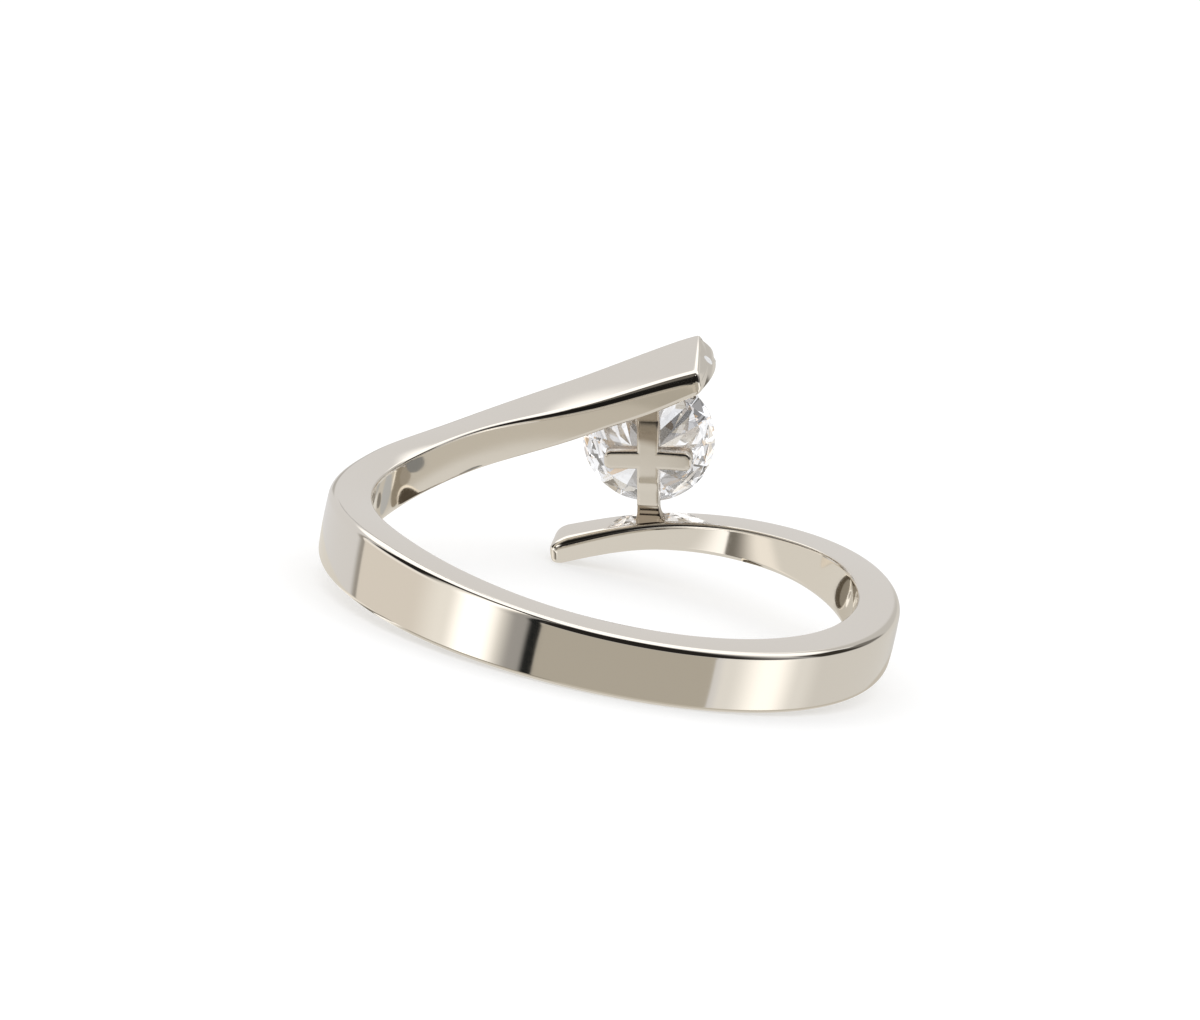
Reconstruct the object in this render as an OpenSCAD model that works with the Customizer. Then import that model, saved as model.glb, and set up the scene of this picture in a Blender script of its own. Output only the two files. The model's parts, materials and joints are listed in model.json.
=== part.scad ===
// A bypass ring with one round brilliant diamond.
// The band passes round the finger once and overlaps itself beside the stone: one arm rises over
// the stone and holds its edge in a groove, the other runs under it. A cross cradle between the
// arms carries the stone's point, and a small claw behind it holds the lower edge.
// The ring's own frame has the finger axis along Z, the middle of the shank at -Y and the stone
// at +Y. It is built there and then laid on its side as it rests.

/* [Finger] */
// Inside radius of the finger hole
finger_r = 8.5; // [7.5:0.1:10]

/* [Band] */
// Wall of the shank, from the finger hole to the outside
band_wall = 1.45; // [1.3:0.05:1.8]
// Size of the softened long edges
edge_r = 0.22; // [0.16:0.02:0.26]
// Size of the softened edges of both end faces
end_r = 0.1; // [0.06:0.01:0.12]
// Stations along the band
stations = 96; // [60:4:120]

/* [Diamond] */
// Diameter of the stone at its girdle
stone_d = 4.7; // [4.5:0.1:4.8]
// Width of the table as a share of the diameter
table_share = 0.56; // [0.53:0.01:0.62]
// Slope of the crown's main facets in degrees
crown_angle = 34.5; // [32:0.5:36]
// Slope of the pavilion's main facets in degrees
pavilion_angle = 40.8; // [40:0.1:41.8]
// Height of the girdle
girdle_h = 0.14; // [0.08:0.02:0.2]
// How far the stone is turned about its own axis in degrees
stone_turn = 35; // [0:1:45]

/* [Setting] */
// Place of the stone round the ring, from the middle of the shank, in degrees
head_angle = 182; // [180:1:184]
// Height of the stone's centre over the middle of the shank
head_z = 1.25; // [1.15:0.05:1.35]
// Shift of the cradle's cross off the stone's axis, towards the upper arm's tip
cradle_shift = 0.15; // [0:0.01:0.2]
// Turn of the cradle's cross about the stone's axis in degrees
cradle_turn = 12.5; // [10:0.5:15]
// Width of the cradle's upright bar
bar_w = 0.78; // [0.6:0.02:0.9]
// Height of the cradle's cross bar
cross_h = 0.6; // [0.5:0.02:0.7]
// Length of the cradle's cross bar
cross_l = 3.1; // [2.6:0.1:3.4]
// Depth of both bars, from the finger hole outwards
cradle_depth = 0.65; // [0.5:0.05:0.8]
// Clearance between the stone and the metal
stone_gap = 0.03; // [0.02:0.01:0.05]

/* [Resting pose] */
// Tip of the ring away from flat towards the shank in degrees
rest_pitch = 6.5; // [0:0.1:15]
// Tip of the ring sideways in degrees
rest_roll = 1; // [-5:0.1:5]
// Turn of the ring on the surface in degrees
rest_yaw = 0; // [-45:0.5:45]

/* [Hidden] */

metal_colour = [0.78, 0.75, 0.70];
stone_colour = [0.93, 0.95, 0.98, 0.6];

// The band's sections, from the lower arm's tip round the shank to the upper arm's tip.
// The columns are the angle from the middle of the shank, the height of the section's middle,
// the section's height, then for the top outer edge what the wall gains and how far the edge is
// lifted, and the same two for the bottom outer edge.
ANGLE = 0;
MIDDLE = 1;
HEIGHT = 2;
TOP_WALL = 3;
TOP_LIFT = 4;
BASE_WALL = 5;
BASE_LIFT = 6;
SECTIONS = [
    [-195, -2.90, 0.90, 0.00,  0.00, 0.00, 0.00],
    [-170, -1.35, 1.05, 0.00,  0.00, 0.00, 0.00],
    [-140, -0.40, 1.30, 0.00,  0.10, 0.00, 0.00],
    [-110,  0.00, 1.75, 0.00,  0.00, 0.00, 0.00],
    [ -60,  0.00, 2.00, 0.00,  0.00, 0.00, 0.00],
    [   0,  0.05, 2.15, 0.00,  0.00, 0.00, 0.00],
    [  50,  0.05, 2.30, 0.00,  0.00, 0.00, 0.00],
    [  90, -0.25, 2.15, 0.00,  0.00, -0.10, 0.00],
    [ 115,  0.00, 1.90, -0.10, -0.10, -0.05, 0.00],
    [ 140,  0.90, 1.65, 0.15, -0.30, 0.15, 0.00],
    [ 165,  2.15, 1.30, 1.15,  0.08, 1.15, 0.05],
    [ 190,  4.45, 0.85, 1.95,  0.85, 1.75, 0.35],
];

// The angle at which each long edge ends, for the lower arm and for the upper arm.
// The edges are the inner bottom, the inner top, the outer top and the outer bottom one.
LOWER_ENDS = [-192.8, -194.6, -191.4, -190.6];
UPPER_ENDS = [191.7, 190.2, 186.2, 190.2];
lower_end = -192;
upper_end = 189;
// The stretch over which the slant of each end dies out, in degrees
slant_run = 24;

// Extra metal inside the finger hole, which the hole's own cylinder then cuts away
skin = 0.1;
// Length of the band along its middle, which turns a length into a share of the run
run_l = 63;
// Places of the stations that round off each end, as turns of a quarter circle
end_turns = [90, 60, 30, 0];

stone_r = stone_d / 2;
table_r = stone_r * table_share;
crown_h = (stone_r - table_r) * tan(crown_angle);
pavilion_h = stone_r * tan(pavilion_angle);
// Distance from the finger axis to the middle of the girdle
head_r = finger_r + cradle_depth + stone_gap + pavilion_h + girdle_h / 2;

function last(list) = len(list) - 1;
function mix(a, b, share) = a + (b - a) * share;

// Slope of one column at a row of the table, from the rows on both sides
function slope(row, column) =
    let (
        before = max(row - 1, 0),
        after = min(row + 1, last(SECTIONS))
    )
    (SECTIONS[after][column] - SECTIONS[before][column])
        / (SECTIONS[after][ANGLE] - SECTIONS[before][ANGLE]);

// Row of the table that starts the stretch holding an angle
function stretch(angle) =
    max([for (row = [0 : last(SECTIONS) - 1]) if (row == 0 || SECTIONS[row][ANGLE] <= angle) row]);

// One column of the table at any angle, on a smooth cubic through the rows
function column_at(angle, column) =
    let (
        row = stretch(angle),
        left = SECTIONS[row],
        right = SECTIONS[row + 1],
        span = right[ANGLE] - left[ANGLE],
        inside = min(max(angle, SECTIONS[0][ANGLE]), SECTIONS[last(SECTIONS)][ANGLE]),
        beyond = angle - inside,
        t = (inside - left[ANGLE]) / span,
        near_row = angle > inside ? row + 1 : row,
        smooth = (2 * t ^ 3 - 3 * t ^ 2 + 1) * left[column]
            + (t ^ 3 - 2 * t ^ 2 + t) * span * slope(row, column)
            + (3 * t ^ 2 - 2 * t ^ 3) * right[column]
            + (t ^ 3 - t ^ 2) * span * slope(row + 1, column)
    )
    beyond == 0 ? smooth : smooth + beyond * slope(near_row, column);

// Point of the ring's frame at an angle round the finger, a radius and a height
function round_point(angle, radius, z) = [-radius * sin(angle), -radius * cos(angle), z];

// The four long edges of the band at one angle: their radius and height
function edge_at(angle, edge) =
    let (
        middle = column_at(angle, MIDDLE),
        half = column_at(angle, HEIGHT) / 2
    )
    edge == 0 ? [finger_r, middle - half]
    : edge == 1 ? [finger_r, middle + half]
    : edge == 2 ? [finger_r + band_wall + column_at(angle, TOP_WALL),
                   middle + half + column_at(angle, TOP_LIFT)]
    : [finger_r + band_wall + column_at(angle, BASE_WALL),
       middle - half + column_at(angle, BASE_LIFT)];

// Angle of one long edge at a share of the run
function edge_angle(share, edge) =
    let (
        angle = mix(lower_end, upper_end, share),
        from_lower = max(1 - (angle - lower_end) / slant_run, 0),
        from_upper = max(1 - (upper_end - angle) / slant_run, 0)
    )
    angle + (LOWER_ENDS[edge] - lower_end) * from_lower ^ 2
        + (UPPER_ENDS[edge] - upper_end) * from_upper ^ 2;

// Points that round one corner of a section, between the directions of its two sides.
// Each turn is how far round the corner the point lies, from the first side to the second.
function corner_points(corner, first, second, size, turns) =
    [for (turn = turns)
        corner + size * (first * (1 - sin(turn)) + second * (1 - cos(turn)))];

function towards(from, to) = (to - from) / norm(to - from);

// One section of the band at a share of the run, drawn in by an inset.
// Its corners are rounded, and it reaches a little into the finger hole.
function section(share, inset) =
    let (
        angles = [for (edge = [0 : 3]) edge_angle(share, edge)],
        pull = [[0, inset], [0, -inset], [-inset, -inset], [-inset, inset]],
        corners = [for (edge = [0 : 3])
            let (at = edge_at(angles[edge], edge) + pull[edge])
            round_point(angles[edge], at[0], at[1])],
        in_low = corners[0],
        in_high = corners[1],
        out_high = corners[2],
        out_low = corners[3],
        soft = edge_r - inset,
        tip_round = 0.16 * max(1 - (upper_end - angles[3]) / slant_run, 0) ^ 2,
        inner = towards(in_low, in_high),
        over = towards(in_high, out_high),
        outer = towards(out_low, out_high),
        under = towards(in_low, out_low),
        reach = min(0.62 * soft + 2.6 * skin, 0.45 * norm(in_high - in_low))
    )
    concat(
        [in_low - round_point(angles[0], skin, 0) + inner * reach],
        [in_high - round_point(angles[1], skin, 0) - inner * reach],
        corner_points(in_high, -inner, over, soft, [22.5, 56, 90]),
        corner_points(out_high, -over, -outer, soft, [0, 30, 60, 90]),
        corner_points(out_low, outer, -under, soft + tip_round, [0, 30, 60, 90]),
        corner_points(in_low, under, inner, soft, [0, 34, 67.5])
    );

// The share of the run and the inset of each ring of points, with rounded ends
band_rings = concat(
    [for (turn = end_turns) [end_r * (1 - sin(turn)) / run_l, end_r * (1 - cos(turn))]],
    [for (i = [1 : stations - 1]) [i / stations, 0]],
    [for (i = [last(end_turns) : -1 : 0])
        [1 - end_r * (1 - sin(end_turns[i])) / run_l, end_r * (1 - cos(end_turns[i]))]]
);
ring_sides = 16;
band_points = [for (ring = band_rings) each section(ring[0], ring[1])];
band_faces = concat(
    [[for (side = [ring_sides - 1 : -1 : 0]) side]],
    [for (ring = [0 : len(band_rings) - 2], side = [0 : ring_sides - 1])
        let (
            a = ring * ring_sides + side,
            b = ring * ring_sides + (side + 1) % ring_sides
        )
        each [[a, b + ring_sides, a + ring_sides], [a, b, b + ring_sides]]],
    [[for (side = [0 : ring_sides - 1]) last(band_rings) * ring_sides + side]]
);

// The shank and both arms, still with the skin inside the finger hole
module band_blank() {
    polyhedron(points = band_points, faces = band_faces, convexity = 10);
}

// Puts what is drawn at the origin onto the stone's axis: X round the ring, Y outwards, Z up
module at_head(turn = 0) {
    rotate([0, 0, 180 - head_angle])
        translate([0, 0, head_z])
            rotate([0, -turn, 0])
                children();
}

// A flat bar with rounded corners, centred at the origin
module soft_bar(length, height, corner) {
    square([length - 2 * corner, height], center = true);
    square([length, height - 2 * corner], center = true);
    for (x = [-1, 1], y = [-1, 1])
        translate([x * (length / 2 - corner), y * (height / 2 - corner)])
            circle(r = corner, $fn = 24);
}

bar_low = -2.75;
bar_high = 2.3;
cross_corner = 0.2;
foot_low = -2.55;
foot_high = -1.98;
foot_r = 0.2;

// Outline of the cross, with the fillets at its foot
module cross_outline() {
    translate([-bar_w / 2, bar_low])
        square([bar_w, bar_high - bar_low]);
    soft_bar(cross_l, cross_h, cross_corner);
    for (side = [-1, 1])
        difference() {
            translate([side > 0 ? bar_w / 2 - 0.05 : -bar_w / 2 - foot_r, foot_low])
                square([foot_r + 0.05, foot_high - foot_low]);
            translate([side * (bar_w / 2 + foot_r), foot_high])
                circle(r = foot_r, $fn = 32);
        }
}

// The upright bar from arm to arm and the bar across it, under the point of the stone
module cradle() {
    at_head(cradle_turn)
        translate([cradle_shift, finger_r + cradle_depth, 0])
            rotate([90, 0, 0])
                linear_extrude(height = cradle_depth + skin)
                    cross_outline();
}

claw_w = 0.5;
claw_turn = 12;
claw_t = 0.45;

// The claw runs out from the lower arm under the stone and closes over its edge
module claw() {
    girdle = stone_r + stone_gap;
    foot = finger_r + 0.5;
    heel = head_r + 0.42;
    grip = 0.38;
    at_head(claw_turn)
        rotate([90, 0, 90])
            translate([0, 0, -claw_w / 2])
                linear_extrude(height = claw_w)
                    polygon([
                        [foot, -2.3],
                        [head_r - 0.5, -girdle - 0.02],
                        [head_r - 0.1, -girdle + 0.1],
                        [head_r + 0.1, -girdle + grip],
                        [heel, -girdle + grip],
                        [heel, -girdle - 0.15],
                        [heel - 0.15, -girdle - claw_t],
                        [head_r - 0.7, -girdle - claw_t - 0.1],
                        [foot, -2.85],
                    ]);
}

// The space that the stone takes in the metal, a little larger than the stone
module stone_seat() {
    g = stone_gap;
    at_head()
        translate([0, head_r, 0])
            rotate([-90, 0, 0])
                rotate_extrude($fn = 96)
                    polygon([
                        [0, -girdle_h / 2 - pavilion_h - g],
                        [stone_r + g, -girdle_h / 2 - g / 2],
                        [stone_r + g, girdle_h / 2 + g / 2],
                        [table_r + g, girdle_h / 2 + crown_h + g],
                        [0, girdle_h / 2 + crown_h + g],
                    ]);
}

dimple_r = 0.3;
dimple_depth = 0.12;

// The small dimple in the end face of the upper arm
module end_dimple() {
    corners = [for (edge = [0 : 3])
        let (at = edge_at(UPPER_ENDS[edge], edge))
        round_point(UPPER_ENDS[edge], at[0], at[1])];
    middle = 0.1 * corners[0] + 0.1 * corners[1] + 0.27 * corners[2] + 0.53 * corners[3];
    outward = cross(corners[3] - corners[1], corners[2] - corners[0]);
    translate(middle + outward / norm(outward) * (dimple_r - dimple_depth))
        sphere(r = dimple_r, $fn = 24);
}

// Where the finger hole's cylinder starts, in degrees
hole_turn = -26;

// The cast metal of the whole ring
module ring_metal() {
    difference() {
        union() {
            band_blank();
            cradle();
            claw();
        }
        rotate([0, 0, hole_turn])
            cylinder(r = finger_r, h = 40, center = true, $fn = 180);
        stone_seat();
        end_dimple();
    }
}

star_share = 0.5;
lower_share = 0.77;

// Corners of the cut stone: table, star points, girdle top, girdle base, lower halves and point
function stone_ring(radius, z, first, step) =
    [for (turn = [first : step : first + 359]) [radius * cos(turn), radius * sin(turn), z]];
star_r = mix(table_r, stone_r, star_share);
star_z = girdle_h / 2 + crown_h - (star_r * cos(22.5) - table_r) * tan(crown_angle);
half_r = stone_r * (1 - lower_share);
half_z = -girdle_h / 2 - pavilion_h + half_r * cos(22.5) * tan(pavilion_angle);
stone_points = concat(
    stone_ring(table_r, girdle_h / 2 + crown_h, 0, 45),
    stone_ring(star_r, star_z, 22.5, 45),
    stone_ring(stone_r, girdle_h / 2, 0, 22.5),
    stone_ring(stone_r, -girdle_h / 2, 0, 22.5),
    stone_ring(half_r, half_z, 22.5, 45),
    [[0, 0, -girdle_h / 2 - pavilion_h]]
);
STAR = 8;
TOP = 16;
BASE = 32;
HALF = 48;
POINT = 56;
stone_faces = concat(
    [[for (i = [7 : -1 : 0]) i]],
    [for (i = [0 : 7])
        let (
            next = (i + 1) % 8,
            before = (i + 7) % 8,
            main = 2 * i,
            side = 2 * i + 1,
            far = (2 * i + 2) % 16
        )
        each [
            [i, next, STAR + i],
            [i, STAR + i, TOP + main, STAR + before],
            [STAR + i, TOP + side, TOP + main],
            [STAR + i, TOP + far, TOP + side],
            [TOP + main, TOP + side, BASE + side, BASE + main],
            [TOP + side, TOP + far, BASE + far, BASE + side],
            [HALF + i, BASE + main, BASE + side],
            [HALF + i, BASE + side, BASE + far],
            [POINT, HALF + before, BASE + main, HALF + i],
        ]]
);

// The round brilliant, its table away from the finger
module brilliant() {
    at_head()
        translate([0, head_r, 0])
            rotate([-90, 0, 0])
                rotate([0, 0, stone_turn])
                    polyhedron(points = stone_points, faces = stone_faces, convexity = 2);
}

// Point of the ring's frame after the ring is tipped and turned
function tipped(p) =
    let (
        x1 = p[0],
        y1 = p[1] * cos(rest_pitch) - p[2] * sin(rest_pitch),
        z1 = p[1] * sin(rest_pitch) + p[2] * cos(rest_pitch),
        x2 = x1 * cos(rest_roll) + z1 * sin(rest_roll),
        z2 = -x1 * sin(rest_roll) + z1 * cos(rest_roll)
    )
    [x2 * cos(rest_yaw) - y1 * sin(rest_yaw), x2 * sin(rest_yaw) + y1 * cos(rest_yaw), z2];

head_out = [sin(180 - head_angle) * -1, cos(180 - head_angle), 0];
stone_top = concat(
    [for (p = stone_points)
        let (
            turned = [p[0] * cos(stone_turn) - p[1] * sin(stone_turn),
                      p[0] * sin(stone_turn) + p[1] * cos(stone_turn)],
            out = head_r + p[2]
        )
        [turned[0] * cos(180 - head_angle) - out * sin(180 - head_angle),
         turned[0] * sin(180 - head_angle) + out * cos(180 - head_angle),
         head_z - turned[1]]]
);
outside_points = [for (p = concat(band_points, stone_top)) if (norm([p[0], p[1]]) > finger_r) tipped(p)];
low = [for (axis = [0 : 2]) min([for (p = outside_points) p[axis]])];
high = [for (axis = [0 : 2]) max([for (p = outside_points) p[axis]])];
rest_origin = [(low[0] + high[0]) / 2, (low[1] + high[1]) / 2, low[2]];

// Lays the ring on its side, with the middle of its base at the origin
module at_rest() {
    translate(-rest_origin)
        rotate([rest_pitch, rest_roll, rest_yaw])
            children();
}

module band() {
    color(metal_colour) at_rest() ring_metal();
}

module diamond() {
    color(stone_colour) at_rest() brilliant();
}

band();
diamond();
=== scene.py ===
"""Looks of a bypass ring in polished white gold with a round brilliant diamond.

Every piece is built in the ring's own frame, in millimetres: the finger axis along Z, the middle of
the shank at -Y and the stone at +Y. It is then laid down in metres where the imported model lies.
"""

import json
import logging
import math
from dataclasses import dataclass
from enum import Enum, IntEnum
from typing import Sequence

import bmesh
import bpy
from bpy.types import Material, Mesh, Node, NodeSocket, NodeTree, Object
from mathutils import Matrix, Vector


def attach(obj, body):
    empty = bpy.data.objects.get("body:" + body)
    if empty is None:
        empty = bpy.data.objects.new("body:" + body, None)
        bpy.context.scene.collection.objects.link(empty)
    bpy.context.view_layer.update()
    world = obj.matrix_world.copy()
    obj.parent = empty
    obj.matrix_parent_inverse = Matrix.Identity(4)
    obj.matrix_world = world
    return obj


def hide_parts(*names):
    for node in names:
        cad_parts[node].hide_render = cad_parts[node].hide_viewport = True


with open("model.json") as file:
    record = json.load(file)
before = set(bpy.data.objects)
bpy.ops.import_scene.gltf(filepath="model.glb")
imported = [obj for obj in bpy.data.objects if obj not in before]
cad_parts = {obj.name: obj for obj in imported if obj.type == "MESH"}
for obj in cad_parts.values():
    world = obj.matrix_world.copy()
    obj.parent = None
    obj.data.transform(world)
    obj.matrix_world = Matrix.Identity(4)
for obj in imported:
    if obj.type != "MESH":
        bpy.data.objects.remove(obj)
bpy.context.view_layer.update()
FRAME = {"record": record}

LOG = logging.getLogger("diamond_ring")
# Metres in a millimetre, and the turn from one main facet of the stone to the next.
MM = 0.001
FACET_DEG = 45.0
# The finger hole's radius in millimetres.
FINGER_R = 8.5

BMesh = bmesh.types.BMesh
Colour = tuple[float, float, float]
Stops = tuple[tuple[float, Colour], ...]


class Slot(Enum):
    """The record's material slots."""

    METAL = "white_gold"
    STONE = "diamond"


class Corner(IntEnum):
    """The four long edges of the band, in the order in which a section runs round them."""

    INNER_TOP = 0
    OUTER_TOP = 1
    OUTER_BASE = 2
    INNER_BASE = 3


@dataclass(frozen=True)
class RestPose:
    """How the ring lies on its side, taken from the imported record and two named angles."""

    pitch_deg: float = 6.5
    roll_deg: float = 1.0
    wall_middle: float = 0.838

    def turn(self) -> Matrix:
        """Return the turn from the ring's frame to the row's frame."""
        pitch = Matrix.Rotation(math.radians(self.pitch_deg), 4, "X")
        return Matrix.Rotation(math.radians(self.roll_deg), 4, "Y") @ pitch

    def to_row(self) -> Matrix:
        """Return the matrix from ring millimetres to row metres.

        Returns:
            The turn, the ring centre's place and the scale in one matrix.
        """
        mount = next(m for m in FRAME["record"]["mounts"] if m["name"] == "finger_hole")
        centre = Vector(mount["pos_m"]) - Vector(mount["axis"]) * self.wall_middle * MM
        return Matrix.Translation(centre) @ self.turn() @ Matrix.Scale(MM, 4)


REST = RestPose()


def unit(value: float) -> float:
    """Return a value kept between 0 and 1."""
    return min(max(value, 0.0), 1.0)


def polar(azimuth: float, radius: float, height: float) -> Vector:
    """Return a point round Z, its azimuth in degrees."""
    turn = math.radians(azimuth)
    return Vector((radius * math.cos(turn), radius * math.sin(turn), height))


def round_point(angle: float, radius: float, height: float) -> Vector:
    """Return a point of the ring's frame, its angle from the shank's middle towards the upper arm."""
    turn = math.radians(angle)
    return Vector((-radius * math.sin(turn), -radius * math.cos(turn), height))


def new_object(name: str, mesh: Mesh) -> Object:
    """Link a mesh to the scene.

    Args:
        name: The object's name.
        mesh: Its mesh.

    Returns:
        The object, at the origin.
    """
    made = bpy.data.objects.new(name, mesh)
    bpy.context.scene.collection.objects.link(made)
    return made


def finished(work: BMesh, name: str, material: Material | None = None) -> Object:
    """Turn edited faces into an object.

    Args:
        work: The faces, which are freed.
        name: Name of the mesh and of the object.
        material: What the object is made of, or None for a cutting tool.

    Returns:
        The object.
    """
    mesh = bpy.data.meshes.new(name)
    work.to_mesh(mesh)
    work.free()
    if material:
        mesh.materials.append(material)
    return new_object(name, mesh)


def evaluated_mesh(source: Object, name: str) -> Mesh:
    """Turn an object with live modifiers into a plain mesh.

    Args:
        source: The object whose modifiers are applied.
        name: Name of the new mesh.

    Returns:
        The evaluated mesh, with no modifier left.
    """
    graph = bpy.context.evaluated_depsgraph_get()
    mesh = bpy.data.meshes.new_from_object(source.evaluated_get(graph))
    mesh.name = name
    return mesh


def prism(outline: Sequence[Sequence[float]], way: Vector) -> BMesh:
    """Draw a flat outline out into a solid.

    Args:
        outline: The flat face's corners.
        way: How far and which way it is drawn out.

    Returns:
        The solid's faces.
    """
    work = bmesh.new()
    face = work.faces.new([work.verts.new(corner) for corner in outline])
    grown = bmesh.ops.extrude_face_region(work, geom=[face])
    moved = [part for part in grown["geom"] if isinstance(part, bmesh.types.BMVert)]
    bmesh.ops.translate(work, verts=moved, vec=way)
    bmesh.ops.recalc_face_normals(work, faces=work.faces)
    return work


def weld(work: BMesh, dist: float) -> None:
    """Join close vertices, drop edges without length and turn the faces outwards.

    Args:
        work: The mesh.
        dist: Distance below which vertices are joined.
    """
    bmesh.ops.remove_doubles(work, verts=work.verts, dist=dist)
    bmesh.ops.dissolve_degenerate(work, edges=work.edges, dist=dist / 2)
    bmesh.ops.recalc_face_normals(work, faces=work.faces)


def soften(work: BMesh, edges: list[bmesh.types.BMEdge], size: float, segments: int) -> None:
    """Round some edges of a mesh by a size in millimetres."""
    bmesh.ops.bevel(work, geom=edges, offset=size, segments=segments, profile=0.5, affect="EDGES")


def sharpen(mesh: Mesh, angle_deg: float) -> None:
    """Shade a mesh smooth and keep the edges sharp that turn more than an angle.

    Args:
        mesh: The mesh to shade.
        angle_deg: Least turn of a sharp edge in degrees.
    """
    work = bmesh.new()
    work.from_mesh(mesh)
    for face in work.faces:
        face.smooth = True
    for edge in work.edges:
        edge.smooth = len(edge.link_faces) == 2 and edge.calc_face_angle(0.0) < math.radians(angle_deg)
    work.to_mesh(mesh)
    work.free()


def carve(body: Object, tools: Sequence[Object]) -> None:
    """Cut other meshes out of a mesh and remove them.

    Args:
        body: The object that keeps what is left.
        tools: Closed meshes that are taken out of it.
    """
    for tool in tools:
        cut = body.modifiers.new("cut", "BOOLEAN")
        cut.operation = "DIFFERENCE"
        cut.solver = "EXACT"
        cut.object = tool
    mesh = evaluated_mesh(body, body.data.name + "_cut")
    body.modifiers.clear()
    body.data = mesh
    for tool in tools:
        bpy.data.objects.remove(tool)


def settle(piece: Object, node: str) -> None:
    """Move a finished piece from ring millimetres to row metres and tell the frame about it.

    Args:
        piece: The finished object, still in the ring's frame.
        node: The CAD node that it stands for.
    """
    piece.data.transform(REST.to_row())
    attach(piece, "root")
    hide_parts(node)
    LOG.info("%s: %d faces", piece.name, len(piece.data.polygons))


class NodeDesk:
    """Short calls for adding and joining nodes of one tree."""

    def __init__(self, tree: NodeTree) -> None:
        """Keep the tree that nodes are added to."""
        self.tree = tree

    @classmethod
    def group(cls, name: str, kind: str, takes: dict[str, str], gives: dict[str, str]) -> "NodeDesk":
        """Start a node group.

        Args:
            name: The group's name.
            kind: Geometry or Shader.
            takes: Name and kind of each input.
            gives: Name and kind of each output.

        Returns:
            The desk of the new group.
        """
        tree = bpy.data.node_groups.new(name, kind + "NodeTree")
        for way, sockets in (("INPUT", takes), ("OUTPUT", gives)):
            for label, sort in sockets.items():
                tree.interface.new_socket(label, in_out=way, socket_type="NodeSocket" + sort)
        return cls(tree)

    def fill(self, node: Node, inputs: dict[str | int, object]) -> Node:
        """Give inputs of a node links or plain values.

        Args:
            node: The node.
            inputs: Another node's output socket or a plain value, for each input.

        Returns:
            The node.
        """
        for name, value in inputs.items():
            socket = node.inputs[name]
            if isinstance(value, NodeSocket):
                self.tree.links.new(value, socket)
            else:
                socket.default_value = (*value, 1.0) if socket.type == "RGBA" else value
        return node

    def add(self, kind: str, inputs: dict[str | int, object] | None = None, **settings: object) -> Node:
        """Add a node.

        Args:
            kind: The node's type name.
            inputs: What its inputs are given.
            **settings: Plain properties of the node.

        Returns:
            The new node.
        """
        node = self.tree.nodes.new(kind)
        for name, value in settings.items():
            setattr(node, name, value)
        return self.fill(node, inputs or {})

    def math(self, operation: str, *values: object) -> NodeSocket:
        """Return the result of a Math node."""
        return self.add("ShaderNodeMath", dict(enumerate(values)), operation=operation).outputs[0]

    def vector(self, operation: str, *values: object) -> NodeSocket:
        """Return the result of a Vector Math node, its value where that is a number."""
        node = self.add("ShaderNodeVectorMath", dict(enumerate(values)), operation=operation)
        return node.outputs["Value" if operation in ("DOT_PRODUCT", "LENGTH") else "Vector"]

    def moved(self, start: object, way: object, share: object) -> NodeSocket:
        """Return a place moved along a vector by a share of it."""
        reach = self.add("ShaderNodeVectorMath", {0: way, "Scale": share}, operation="SCALE")
        return self.vector("ADD", start, reach.outputs["Vector"])

    def ramp(self, value: object, low: object, high: object, start: float = 0, end: float = 1) -> NodeSocket:
        """Map a value smoothly from one range to another.

        Args:
            value: The value that is mapped.
            low: Value at which the ramp starts.
            high: Value at which the ramp ends.
            start: Result at the start.
            end: Result at the end.

        Returns:
            The result's socket.
        """
        inputs = {"Value": value, "From Min": low, "From Max": high, "To Min": start, "To Max": end}
        return self.add("ShaderNodeMapRange", inputs, interpolation_type="SMOOTHSTEP").outputs["Result"]

    def blend(self, mask: object, under: object, over: object) -> NodeSocket:
        """Return one colour with another laid over it by a mask."""
        return self.add("ShaderNodeMix", {0: mask, 6: under, 7: over}, data_type="RGBA").outputs[2]

    def ring_place(self) -> list[NodeSocket]:
        """Work out where a spot of the surface lies.

        Returns:
            Its x, y and z in the ring's frame, in millimetres.
        """
        spot = self.add("ShaderNodeTexCoord").outputs["Object"]
        rows = REST.to_row().inverted()[:3]
        return [self.math("ADD", self.vector("DOT_PRODUCT", spot, tuple(row[:3])), row[3]) for row in rows]

    def cells(self, spot: object, scale: float, stops: Stops) -> NodeSocket:
        """Fill space with cells that each have one of a few colours.

        Args:
            spot: Place that the cells are drawn at.
            scale: Cells to a unit of length.
            stops: Share of the cells below each colour, and the colour.

        Returns:
            The colour's socket.
        """
        cells = self.add("ShaderNodeTexVoronoi", {"Vector": spot, "Scale": scale})
        tone = self.add("ShaderNodeSeparateColor", {0: cells.outputs["Color"]})
        ramp = self.add("ShaderNodeValToRGB", {0: tone.outputs[0]})
        ramp.color_ramp.interpolation = "CONSTANT"
        while len(ramp.color_ramp.elements) < len(stops):
            ramp.color_ramp.elements.new(0.5)
        for element, (place, colour) in zip(ramp.color_ramp.elements, stops):
            element.position = place
            element.color = (*colour, 1.0)
        return ramp.outputs[0]


def by_name(source: object, names: Sequence[str]) -> dict[str, object]:
    """Return an object's fields for the inputs of a node that are named after them."""
    return {name: getattr(source, name.lower().replace(" ", "_")) for name in names}


def new_material(name: str) -> tuple[Material, NodeDesk]:
    """Start a material.

    Args:
        name: The material's name.

    Returns:
        The material and the desk of its nodes.
    """
    material = bpy.data.materials.new(name)
    material.use_nodes = True
    return material, NodeDesk(material.node_tree)


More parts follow.
